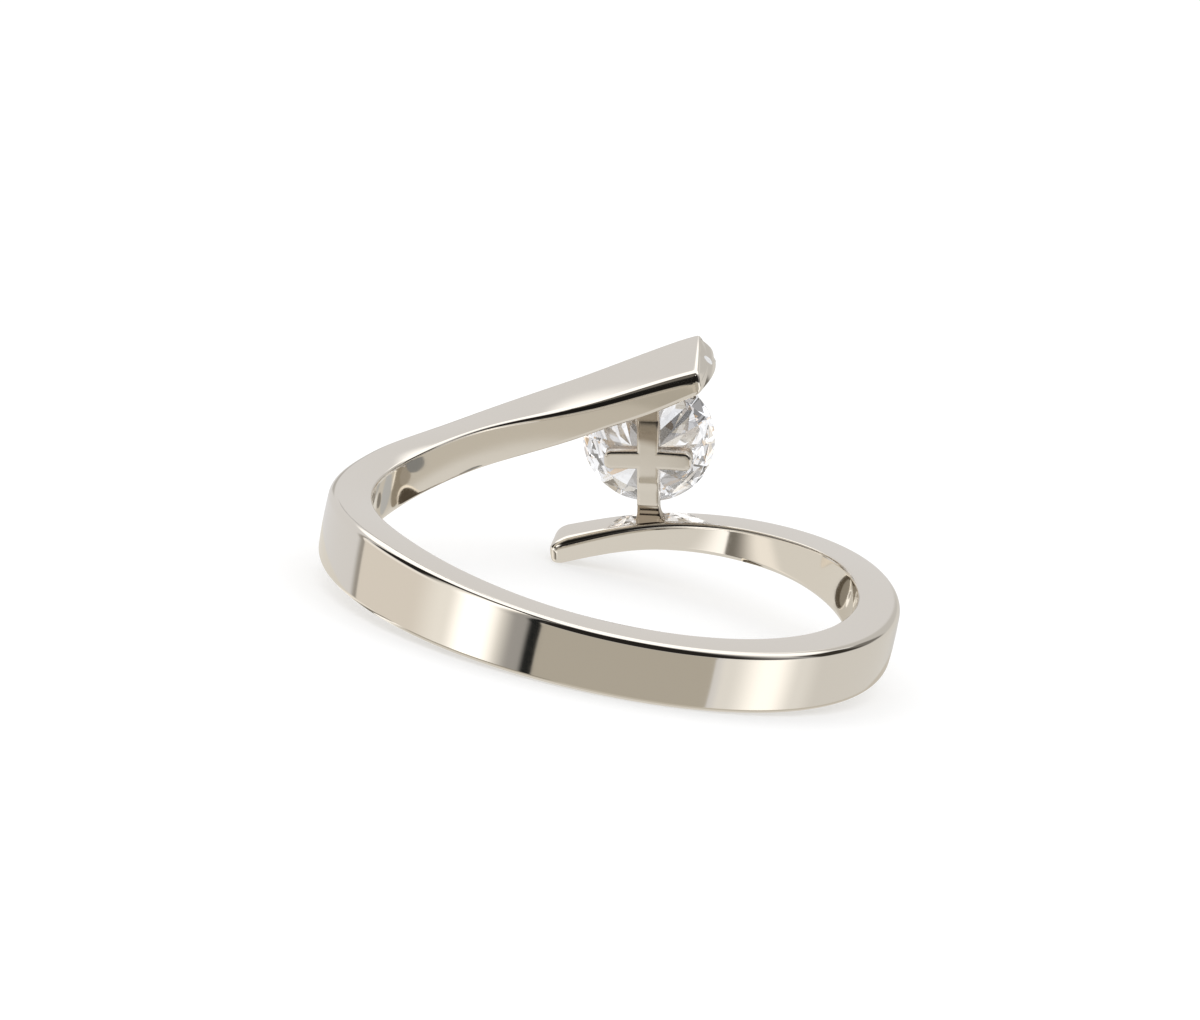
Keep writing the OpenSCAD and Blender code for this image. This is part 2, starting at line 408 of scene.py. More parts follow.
def reflected_stage(
    name: str,
    points: Sequence[Vector],
    faces: Sequence[Sequence[int]],
    material: Material,
    tones: Sequence[Colour] = (),
) -> None:
    """Build a helper of the studio that is seen only in mirror reflections.

    Args:
        name: The helper's name.
        points: Its vertices in the ring's frame.
        faces: Its faces.
        material: Its material.
        tones: Glow of each vertex, where the material reads it.
    """
    mesh = bpy.data.meshes.new(name)
    mesh.from_pydata(points, [], faces)
    mesh.attributes.new("glow", "FLOAT_COLOR", "POINT")
    for spot, tone in zip(mesh.attributes["glow"].data, tones):
        spot.color = (*tone, 1.0)
    mesh.transform(REST.to_row())
    mesh.materials.append(material)
    made = new_object(name, mesh)
    for rays in ("camera", "diffuse", "shadow", "transmission"):
        setattr(made, f"visible_{rays}", False)


@dataclass(frozen=True)
class BandSection:
    """One row of the band's table, in millimetres and degrees."""

    angle: float
    middle: float
    height: float
    top_wall: float
    top_lift: float
    base_wall: float
    base_lift: float


# The rows run from the lower arm's tip round the shank to the upper arm's tip. The columns are the
# angle, the height of the section's middle, its height, then for the top outer edge what the wall
# gains and how far the edge is lifted, and the same two for the bottom outer edge.
BAND_TABLE: tuple[BandSection, ...] = (
    BandSection(-195, -2.90, 0.92, 0.00, 0.04, 0.00, 0.00),
    BandSection(-170, -1.35, 1.05, 0.00, 0.03, 0.00, 0.00),
    BandSection(-140, -0.40, 1.30, 0.06, 0.10, 0.00, 0.00),
    BandSection(-110, 0.00, 1.75, 0.10, 0.00, 0.03, 0.00),
    BandSection(-60, 0.00, 2.00, 0.03, 0.00, 0.12, -0.08),
    BandSection(0, 0.05, 2.15, 0.00, 0.00, 0.00, 0.00),
    BandSection(50, 0.05, 2.30, 0.00, 0.00, 0.07, -0.09),
    BandSection(90, -0.25, 2.15, 0.05, 0.00, 0.00, -0.03),
    BandSection(115, 0.00, 1.90, 0.03, -0.10, -0.02, 0.00),
    BandSection(140, 0.90, 1.65, 0.20, -0.30, 0.15, 0.00),
    BandSection(165, 2.15, 1.30, 1.15, 0.08, 1.15, 0.05),
    BandSection(190, 4.45, 0.85, 1.95, 0.92, 1.75, 0.35),
)


@dataclass(frozen=True)
class BandCurve:
    """Reads the band's table at any angle, on a smooth cubic through its rows."""

    rows: tuple[BandSection, ...] = BAND_TABLE

    def slope(self, row: int, column: str) -> float:
        """Return a column's slope at a row, from the rows on both sides."""
        before, after = self.rows[max(row - 1, 0)], self.rows[min(row + 1, len(self.rows) - 1)]
        return (getattr(after, column) - getattr(before, column)) / (after.angle - before.angle)

    def value(self, angle: float, column: str) -> float:
        """Read one column.

        Args:
            angle: Angle from the middle of the shank in degrees.
            column: Name of the column.

        Returns:
            The column's value, carried on in a straight line beyond the table.
        """
        inside = min(max(angle, self.rows[0].angle), self.rows[-1].angle)
        row = max(i for i in range(len(self.rows) - 1) if i == 0 or self.rows[i].angle <= inside)
        left, right = self.rows[row], self.rows[row + 1]
        span = right.angle - left.angle
        t = (inside - left.angle) / span
        smooth = (2 * t**3 - 3 * t**2 + 1) * getattr(left, column)
        smooth += (t**3 - 2 * t**2 + t) * span * self.slope(row, column)
        smooth += (3 * t**2 - 2 * t**3) * getattr(right, column)
        smooth += (t**3 - t**2) * span * self.slope(row + 1, column)
        if angle == inside:
            return smooth
        return smooth + (angle - inside) * self.slope(row + (1 if angle > inside else 0), column)


@dataclass(frozen=True)
class Swell:
    """A stretch of the band where one long edge is moved, fading to both sides."""

    corner: Corner
    middle: float
    reach: float
    extra: float

    def at(self, angle: float) -> float:
        """Return how far the edge is moved at an angle."""
        share = unit(abs(angle - self.middle) / self.reach)
        return self.extra * (1 - share * share * (3 - 2 * share))


# Where the edges are rounded more or less than elsewhere: the left and right bends, the arms and ends.
BAND_SWELLS: tuple[Swell, ...] = (
    Swell(Corner.OUTER_TOP, 95, 36, 0.10),
    Swell(Corner.OUTER_TOP, -92, 40, 0.10),
    Swell(Corner.OUTER_TOP, 196, 76, -0.13),
    Swell(Corner.OUTER_TOP, -196, 70, -0.13),
    Swell(Corner.INNER_TOP, -192, 52, 0.24),
    Swell(Corner.INNER_TOP, 192, 60, 0.26),
    Swell(Corner.OUTER_TOP, 189, 6, 0.20),
    Swell(Corner.INNER_BASE, 184, 14, 0.06),
)

# Where the upper arm hangs lower over the stone's edge.
STONE_LIP = Swell(Corner.INNER_BASE, 183, 14, 0.20)


@dataclass(frozen=True)
class ArmEnd:
    """How one arm's end is rounded, in millimetres, and how its sides stand out along the arm."""

    length: float
    inner: float
    outer: float
    top: float
    base: float
    dome: float
    outer_bulge: float
    base_bulge: float
    # Degrees back from the end over which both bulges fade out.
    bulge_run: float


@dataclass
class Station:
    """One place along the band: its four corners, their softness and the crown of its four sides."""

    corners: list[Vector]
    soft: list[float]
    crown: list[Vector]


@dataclass
class Band:
    """The shank and both arms, lofted through the band's table. Tuples of four follow Corner."""

    finger_r: float = FINGER_R
    wall: float = 1.45
    fullness: float = 2.3
    # How far the sides stand out in their middle. The top side gains arm_crown over the arm_run.
    outer_crown: float = 0.02
    top_crown: float = 0.012
    arm_crown: float = 0.025
    arm_from: float = 150.0
    arm_run: float = 30.0
    nose: ArmEnd = ArmEnd(0.42, 0.20, 0.40, 0.22, 0.26, 0.05, outer_bulge=0.05, base_bulge=0.0, bulge_run=8)
    tip: ArmEnd = ArmEnd(0.16, 0.16, 0.16, 0.14, 0.16, 0.02, outer_bulge=0.12, base_bulge=0.18, bulge_run=9)
    stations: int = 260
    fillet_steps: int = 12
    side_steps: int = 8
    end_steps: int = 7
    # The length from tip to tip in millimetres, and the share of it between an end's rings and the rest.
    run: float = 63.0
    end_space: float = 0.001
    lower_end: float = -192.0
    upper_end: float = 189.0
    slant_run: float = 24.0
    edge_r: tuple[float, ...] = (0.13, 0.27, 0.18, 0.16)
    most_soft: float = 0.47
    lower_ends: tuple[float, ...] = (-194.9, -192.9, -192.5, -194.1)
    upper_ends: tuple[float, ...] = (190.4, 186.4, 190.3, 191.8)
    cap_shares: tuple[float, ...] = (0.93, 0.84, 0.73, 0.6, 0.45, 0.3, 0.15, 0.0)
    dimple_r: float = 0.20
    dimple_depth: float = 0.16
    dimple_rise: float = 0.09
    dimple_place: tuple[float, ...] = (0.25, 0.32, 0.28, 0.15)
    merge: float = 0.0004
    crease_deg: float = 34.0
    curve: BandCurve = BandCurve()

    def angle_of(self, share: float, corner: Corner) -> float:
        """Slant the long edges towards both ends.

        Args:
            share: Share of the run from the lower arm's tip.
            corner: Which long edge.

        Returns:
            The edge's angle in degrees.
        """
        angle = self.lower_end + (self.upper_end - self.lower_end) * share
        near_lower = max(1 - (angle - self.lower_end) / self.slant_run, 0) ** 2
        near_upper = max(1 - (self.upper_end - angle) / self.slant_run, 0) ** 2
        low = (self.lower_ends[corner] - self.lower_end) * near_lower
        return angle + low + (self.upper_ends[corner] - self.upper_end) * near_upper

    def corner_at(self, angle: float, corner: Corner, end: ArmEnd, drawn: float) -> Vector:
        """Place one corner of a section.

        Args:
            angle: The edge's angle in degrees.
            corner: Which long edge.
            end: The arm's end that the section belongs to.
            drawn: How far the section is drawn in for that end, 0 along the band and 1 at the end.

        Returns:
            The corner in the ring's frame.
        """
        middle = self.curve.value(angle, "middle")
        half = self.curve.value(angle, "height") / 2
        if corner in (Corner.INNER_TOP, Corner.OUTER_TOP):
            side, height = "top", middle + half - end.top * drawn
        else:
            side, height = "base", middle - half + end.base * drawn
        if corner is Corner.INNER_TOP:
            return round_point(angle, self.finger_r + end.inner * drawn, height)
        if corner is Corner.INNER_BASE:
            return round_point(angle, self.finger_r + end.inner * drawn, height - STONE_LIP.at(angle))
        radius = self.finger_r + self.wall - end.outer * drawn + self.curve.value(angle, side + "_wall")
        return round_point(angle, radius, height + self.curve.value(angle, side + "_lift"))

    def bulge(self, angle: float, end: ArmEnd) -> Vector:
        """Return how far a section's middle stands out along the arm near an end, for a bulge of 1.

        Args:
            angle: The section's angle in degrees.
            end: The arm's end.

        Returns:
            The direction along the arm, fading away from the end.
        """
        last, sense = (self.lower_end, -1) if end is self.nose else (self.upper_end, 1)
        near = max(1 - abs(last - angle) / end.bulge_run, 0.0) if angle * sense < last * sense else 1.0
        one, other = (self.corner_at(angle + k, Corner.OUTER_TOP, end, 0.0) for k in (-1, 1))
        return (other - one).normalized() * sense * near * near

    def station(self, share: float, end: ArmEnd, drawn: float) -> Station:
        """Make one station.

        Args:
            share: Share of the run from the lower arm's tip.
            end: The arm's end that the station belongs to.
            drawn: How far the section is drawn in for that end, from 0 to 1.

        Returns:
            The station with its corners, softness and crowns.
        """
        angles = [self.angle_of(share, corner) for corner in Corner]
        corners = [self.corner_at(angles[corner], corner, end, drawn) for corner in Corner]
        most = self.most_soft * min((corners[(i + 1) % 4] - corners[i]).length for i in range(4))
        soft = [min(self.softness(angles[corner], corner), most) for corner in Corner]
        crown = [Vector() for _ in Corner]
        outward = round_point(angles[Corner.OUTER_TOP], 1.0, 0.0)
        along = self.bulge((angles[Corner.OUTER_TOP] + angles[Corner.OUTER_BASE]) / 2, end)
        crown[Corner.OUTER_TOP] = outward * self.outer_crown + along * end.outer_bulge
        crown[Corner.OUTER_BASE] = along * end.base_bulge
        wide = unit((angles[Corner.INNER_TOP] - self.arm_from) / self.arm_run)
        crown[Corner.INNER_TOP] = Vector((0, 0, self.top_crown + self.arm_crown * wide))
        return Station(corners, soft, crown)

    def softness(self, angle: float, corner: Corner) -> float:
        """Return how far a long edge is rounded at an angle."""
        return self.edge_r[corner] + sum(s.at(angle) for s in BAND_SWELLS if s.corner is corner)

    def shrunk(self, end: Station, share: float, outward: Vector) -> Station:
        """Draw an end station in towards its middle, for the end face.

        The face is a smooth patch between the station's four sides, with the bulges of its outer and
        bottom sides.

        Args:
            end: The end station.
            share: Share of its size that is left.
            outward: How far and which way the end face's middle stands out.

        Returns:
            The smaller station.
        """
        side, base = end.crown[Corner.OUTER_TOP], end.crown[Corner.OUTER_BASE]

        def patch(across: float, down: float) -> Vector:
            """Return the patch's rise at a place of the end face, each way from 0 to 1."""
            rise = side * 4 * down * (1 - down) * across + base * 4 * across * (1 - across) * down
            return rise + outward * (1 - share**2)

        near, far = (1 - share) / 2, (1 + share) / 2
        places = ((near, near), (far, near), (far, far), (near, far))
        between = ((0.5, near), (far, 0.5), (0.5, far), (near, 0.5))
        middle = sum(end.corners, Vector()) / 4
        rises = [patch(*place) for place in places]
        corners = [middle + (corner - middle) * share + rise for corner, rise in zip(end.corners, rises)]
        crown = [patch(*between[i]) - (rises[i] + rises[(i + 1) % 4]) / 2 for i in range(4)]
        return Station(corners, [size * share for size in end.soft], crown)

    def end_direction(self, end: Station) -> Vector:
        """Return the direction in which an end face looks."""
        return (end.corners[2] - end.corners[0]).cross(end.corners[3] - end.corners[1]).normalized()

    def end_rings(self, end: ArmEnd) -> list[tuple[float, float]]:
        """Return the share of the run and the drawing-in of each ring that rounds an arm's end."""
        turns = [math.radians(90 * (1 - step / self.end_steps)) for step in range(self.end_steps + 1)]
        return [(end.length * (1 - math.sin(turn)) / self.run, 1 - math.cos(turn)) for turn in turns]

    def all_stations(self) -> list[Station]:
        """Make every station.

        Returns:
            The stations from the middle of the lower arm's end face to the middle of the upper arm's.
        """
        lower = [self.station(share, self.nose, drawn) for share, drawn in self.end_rings(self.nose)]
        rings = reversed(self.end_rings(self.tip))
        upper = [self.station(1 - share, self.tip, drawn) for share, drawn in rings]
        first = self.nose.length / self.run + self.end_space
        last = 1 - self.tip.length / self.run - self.end_space
        shares = [first + (last - first) * i / self.stations for i in range(self.stations + 1)]
        middle = [self.station(share, self.nose if share < 0.5 else self.tip, 0.0) for share in shares]
        nose_out = self.end_direction(lower[0]) * self.nose.dome
        tip_out = self.end_direction(upper[-1]) * -self.tip.dome
        lower_cap = [self.shrunk(lower[0], share, nose_out) for share in reversed(self.cap_shares)]
        upper_cap = [self.shrunk(upper[-1], share, tip_out) for share in self.cap_shares]
        return lower_cap + lower + middle + upper + upper_cap

    def rail(self) -> Object:
        """Make the rail that the band is lofted along.

        Returns:
            An object with a vertex for each corner of each station, and its softness and crown.
        """
        stations = self.all_stations()
        mesh = bpy.data.meshes.new("band_rail")
        mesh.from_pydata([corner for s in stations for corner in s.corners], [], [])
        crown = mesh.attributes.new("crown", "FLOAT_VECTOR", "POINT")
        crown.data.foreach_set("vector", [v for s in stations for side in s.crown for v in side])
        soft = mesh.attributes.new("soft", "FLOAT", "POINT")
        soft.data.foreach_set("value", [v for s in stations for v in s.soft])
        return new_object("band_rail", mesh)

    def loft_tree(self) -> NodeTree:
        """Build the tree that lofts rounded sections along the rail.

        Returns:
            The geometry tree, with named inputs for its step counts and its metal.
        """
        takes = {"Rail": "Geometry", "Fillet Steps": "Int", "Side Steps": "Int"}
        takes |= {"Fullness": "Float", "Metal": "Material"}
        desk = NodeDesk.group("band_loft", "Geometry", takes, {"Band": "Geometry"})
        given = desk.add("NodeGroupInput").outputs
        rail, fillet, side = given["Rail"], given["Fillet Steps"], given["Side Steps"]
        num, vec = desk.math, desk.vector
        # A grid with a row round the band for each station. Each corner has a block of points in it.
        block = num("ADD", fillet, side)
        around = num("MULTIPLY", block, 4.0)
        row = num("ADD", around, 1.0)
        size = desk.add("GeometryNodeAttributeDomainSize", {"Geometry": rail}, component="MESH")
        columns = num("DIVIDE", size.outputs["Point Count"], 4.0)
        grid = desk.add("GeometryNodeMeshGrid", {"Vertices X": columns, "Vertices Y": row})
        index = desk.add("GeometryNodeInputIndex").outputs[0]
        station = num("FLOOR", num("DIVIDE", num("ADD", index, 0.5), row))
        place = num("MODULO", num("SUBTRACT", index, num("MULTIPLY", station, row)), around)
        corner = num("FLOOR", num("DIVIDE", num("ADD", place, 0.5), block))
        local = num("SUBTRACT", place, num("MULTIPLY", corner, block))

        def sampled(name: str, kind: str, steps: int) -> NodeSocket:
            """Read an attribute of the rail at this point's corner, or some steps further round.

            Args:
                name: The attribute's name.
                kind: Its data type.
                steps: How many corners further round.

            Returns:
                The value's socket.
            """
            read = desk.add("GeometryNodeInputNamedAttribute", {"Name": name}, data_type=kind)
            further = num("MODULO", num("ADD", corner, float(steps)), 4.0)
            spot = num("ADD", num("MULTIPLY", station, 4.0), further)
            inputs = {"Geometry": rail, "Value": read.outputs["Attribute"], "Index": spot}
            sample = desk.add("GeometryNodeSampleIndex", inputs, data_type=kind, domain="POINT")
            return sample.outputs["Value"]

        here, ahead, behind = (sampled("position", "FLOAT_VECTOR", steps) for steps in (0, 1, 3))
        crown = sampled("crown", "FLOAT_VECTOR", 0)
        soft, soft_ahead = (sampled("soft", "FLOAT", steps) for steps in (0, 1))
        # The rounded corner, from the side behind it to the side ahead.
        to_behind, to_ahead = (vec("NORMALIZE", vec("SUBTRACT", way, here)) for way in (behind, ahead))
        last = num("SUBTRACT", fillet, 1.0)
        turn = num("MULTIPLY", num("DIVIDE", num("MINIMUM", local, last), last), math.pi / 2)
        power = num("DIVIDE", 2.0, given["Fullness"])
        waves = (num("POWER", num("MAXIMUM", num(wave, turn), 0.0), power) for wave in ("SINE", "COSINE"))
        back, forth = (num("MULTIPLY", soft, num("SUBTRACT", 1.0, wave)) for wave in waves)
        bend = desk.moved(desk.moved(here, to_behind, back), to_ahead, forth)
        # The crowned side between this corner's rounding and the next one's.
        start = desk.moved(here, to_ahead, soft)
        stop = desk.moved(ahead, to_ahead, num("MULTIPLY", soft_ahead, -1.0))
        along = num("DIVIDE", num("SUBTRACT", local, last), num("ADD", side, 1.0))
        wave = num("COSINE", num("MULTIPLY", along, math.pi))
        share = num("SUBTRACT", 0.5, num("MULTIPLY", wave, 0.5))
        rise = num("MULTIPLY", num("MULTIPLY", share, num("SUBTRACT", 1.0, share)), 4.0)
        flat = desk.moved(desk.moved(start, vec("SUBTRACT", stop, start), share), crown, rise)
        on_fillet = num("LESS_THAN", local, num("SUBTRACT", fillet, 0.5))
        pick = desk.add("GeometryNodeSwitch", input_type="VECTOR")
        desk.fill(pick, {"Switch": on_fillet, "False": flat, "True": bend})
        shape = grid.outputs["Mesh"]
        steps = {
            "SetPosition": {"Position": pick.outputs["Output"]},
            "MergeByDistance": {"Distance": self.merge},
            "SetShadeSmooth": {},
            "RealizeInstances": {},
            "SetMaterial": {"Material": given["Metal"]},
        }
        for step, inputs in steps.items():
            shape = desk.add("GeometryNode" + step, {"Geometry": shape} | inputs).outputs["Geometry"]
        desk.add("NodeGroupOutput", {"Band": shape})
        return desk.tree

    def loft(self, metal: Material) -> Object:
        """Loft the band along its rail.

        Args:
            metal: The band's metal.

        Returns:
            The closed band in the ring's frame.
        """
        rail, tree = self.rail(), self.loft_tree()
        modifier = rail.modifiers.new("loft", "NODES")
        modifier.node_group = tree
        values = by_name(self, ("Fillet Steps", "Side Steps", "Fullness")) | {"Metal": metal}
        for item in tree.interface.items_tree:
            if item.name in values and item.in_out == "INPUT":
                modifier[item.identifier] = values[item.name]
        mesh = evaluated_mesh(rail, "band_metal")
        bpy.data.objects.remove(rail)
        work = bmesh.new()
        work.from_mesh(mesh)
        weld(work, self.merge / 2)
        work.to_mesh(mesh)
        work.free()
        return new_object("band_metal", mesh)

    def dimple(self) -> Object:
        """Make the tool that cuts the small dimple in the upper arm's end face.

        Returns:
            A ball in the ring's frame.
        """
        ends = [self.corner_at(self.upper_ends[corner], corner, self.tip, 0.0) for corner in Corner]
        middle = sum((end * share for end, share in zip(ends, self.dimple_place)), Vector())
        outward = (ends[2] - ends[0]).cross(ends[1] - ends[3])
        outward.normalize()
        if outward.x < 0:
            outward.negate()
        work = bmesh.new()
        bmesh.ops.create_uvsphere(work, u_segments=48, v_segments=24, radius=self.dimple_r)
        lift = self.tip.dome + self.dimple_rise + self.dimple_r - self.dimple_depth
        bmesh.ops.translate(work, verts=work.verts, vec=middle + outward * lift)
        return finished(work, "dimple_tool")


@dataclass
class Stone:
    """The round brilliant and the space that it takes in the metal."""

    diameter: float = 4.74
    table_share: float = 0.56
    crown_deg: float = 34.5
    pavilion_deg: float = 40.8
    girdle_h: float = 0.14
    star_share: float = 0.5
    lower_share: float = 0.77
    turn_deg: float = 35.0
    girdle_sides: int = 96
    seat_sides: int = 128
    gap: float = 0.03
    # Where the stone's axis leaves the finger hole, from the shank's middle and above its plane.
    head_deg: float = 181.7
    head_z: float = 1.22
    cradle_depth: float = 0.65
    finger_r: float = FINGER_R
    merge: float = 0.0005

    @property
    def radius(self) -> float:
        """Return the girdle's radius."""
        return self.diameter / 2

    @property
    def pavilion_h(self) -> float:
        """Return the pavilion's depth."""
        return self.radius * math.tan(math.radians(self.pavilion_deg))

    @property
    def crown_h(self) -> float:
        """Return the crown's height."""
        return self.radius * (1 - self.table_share) * math.tan(math.radians(self.crown_deg))

    @property
    def head_r(self) -> float:
        """Return the distance from the finger axis to the middle of the girdle."""
        return self.finger_r + self.cradle_depth + self.gap + self.pavilion_h + self.girdle_h / 2

    @property
    def place(self) -> Matrix:
        """Return the matrix from the stone's own centre, its axis along Y, to the ring's frame."""
        return self.head_frame() @ Matrix.Translation((0, self.head_r, 0))

    def head_frame(self, turn_deg: float = 0.0) -> Matrix:
        """Return the matrix from the stone's axis to the ring's frame.

        Args:
            turn_deg: Turn about the stone's axis in degrees.

        Returns:
            X round the ring, Y outwards and Z up, at the height of the stone's centre.
        """
        around = Matrix.Rotation(math.radians(180 - self.head_deg), 4, "Z")
        turn = Matrix.Rotation(math.radians(-turn_deg), 4, "Y")
        return around @ Matrix.Translation((0, 0, self.head_z)) @ turn

    def fold(self, azimuth: float, reach: float, slope_deg: float, side: int) -> Vector:
        """Place a corner on the fold between two main facets.

        Args:
            azimuth: The fold's azimuth in degrees, halfway between the two facets.
            reach: The corner's distance from the axis.
            slope_deg: Slope of the main facets.
            side: 1 on the crown, -1 on the pavilion.

        Returns:
            The corner.
        """
        inward = self.radius - reach * math.cos(math.radians(FACET_DEG / 2))
        fall = inward * math.tan(math.radians(slope_deg))
        return polar(azimuth, reach, side * (self.girdle_h / 2 + fall))

    def facet_planes(self) -> list[tuple[Vector, Vector]]:
        """Lay out the facets of a round brilliant.

        Returns:
            A point and an outward normal for each facet.
        """
        half = self.girdle_h / 2
        table_r = self.radius * self.table_share
        table_z = half + self.crown_h
        edge_r = table_r * math.cos(math.radians(FACET_DEG / 2))
        star_r = edge_r + self.star_share * (self.radius - edge_r)
        planes = [(Vector((0, 0, table_z)), Vector((0, 0, 1)))]

        def through(*corners: Vector) -> None:
            """Add the plane through three corners, looking outwards."""
            normal = (corners[1] - corners[0]).cross(corners[2] - corners[0]).normalized()
            planes.append((corners[0], normal if normal.dot(corners[0]) > 0 else -normal))

        for i in range(8):
            main, ahead = FACET_DEG * i, FACET_DEG * (i + 1)
            between = main + FACET_DEG / 2
            for side, slope_deg in ((1, self.crown_deg), (-1, self.pavilion_deg)):
                slope = math.radians(slope_deg)
                normal = polar(main, math.sin(slope), side * math.cos(slope))
                planes.append((polar(main, self.radius, side * half), normal))
            star = self.fold(between, star_r, self.crown_deg, 1)
            low = self.fold(between, self.radius * (1 - self.lower_share), self.pavilion_deg, -1)
            through(polar(main, table_r, table_z), polar(ahead, table_r, table_z), star)
            for near in (main, ahead):
                through(star, polar(near, self.radius, half), polar(between, self.radius, half))
                through(low, polar(near, self.radius, -half), polar(between, self.radius, -half))
        return planes

    def cut(self, clear: Material) -> Object:
        """Cut the brilliant from a round blank, one facet after another.

        Args:
            clear: The stone's material.

        Returns:
            The stone in the ring's frame.
        """
        work = bmesh.new()
        blank = {"radius1": self.radius, "radius2": self.radius, "depth": 3 * self.radius}
        bmesh.ops.create_cone(work, cap_ends=True, segments=self.girdle_sides, **blank)
        for place, normal in self.facet_planes():
            parts = [*work.verts, *work.edges, *work.faces]
            made = bmesh.ops.bisect_plane(
                work, geom=parts, plane_co=place, plane_no=normal, clear_outer=True, dist=1e-6
            )
            rim = [part for part in made["geom_cut"] if isinstance(part, bmesh.types.BMEdge)]
            if len(rim) > 2:
                bmesh.ops.contextual_create(work, geom=rim)
        weld(work, self.merge)
        upright = Matrix.Rotation(math.radians(-90), 4, "X")
        upright = upright @ Matrix.Rotation(math.radians(self.turn_deg), 4, "Z")
        bmesh.ops.transform(work, matrix=self.place @ upright, verts=work.verts)
        return finished(work, "brilliant", clear)

    def seat_tool(self) -> Object:
        """Make the tool that cuts the stone's groove in the metal.

        Returns:
            A turned body in the ring's frame.
        """
        g = self.gap
        half = self.girdle_h / 2
        profile = (
            (0.0, -half - self.pavilion_h - g),
            (self.radius + g, -half - g / 2),
            (self.radius + g, half + g / 2),
            (self.radius * self.table_share + g, half + self.crown_h + g),
            (0.0, half + self.crown_h + g),
        )
        work = bmesh.new()
        line = [work.verts.new((x, y, 0.0)) for x, y in profile]
        line += [work.edges.new(pair) for pair in zip(line, line[1:])]
        turn = {"cent": (0, 0, 0), "axis": (0, 1, 0), "angle": math.tau, "steps": self.seat_sides}
        bmesh.ops.spin(work, geom=line, **turn)
        weld(work, self.merge)
        bmesh.ops.transform(work, matrix=self.place, verts=work.verts)
        return finished(work, "seat_tool")


@dataclass(frozen=True)
class Easing:
    """A stretch of the upright bar over which its front falls back, in millimetres."""

    begin: float
    end: float
    depth: float
    steep: bool = False

    def at(self, z: float) -> float:
        """Return how far the front has fallen back at a height."""
        share = unit((z - self.begin) / (self.end - self.begin))
        return self.depth * (1 - math.sqrt(1 - share**2) if self.steep else share**2)


@dataclass(frozen=True)
class Ripple:
    """A low wave of the upright bar's front, in millimetres."""

    middle: float
    reach: float
    rise: float

    def at(self, z: float) -> float:
        """Return the wave's height at a height of the bar."""
        return self.rise * math.exp(-(((z - self.middle) / self.reach) ** 2))


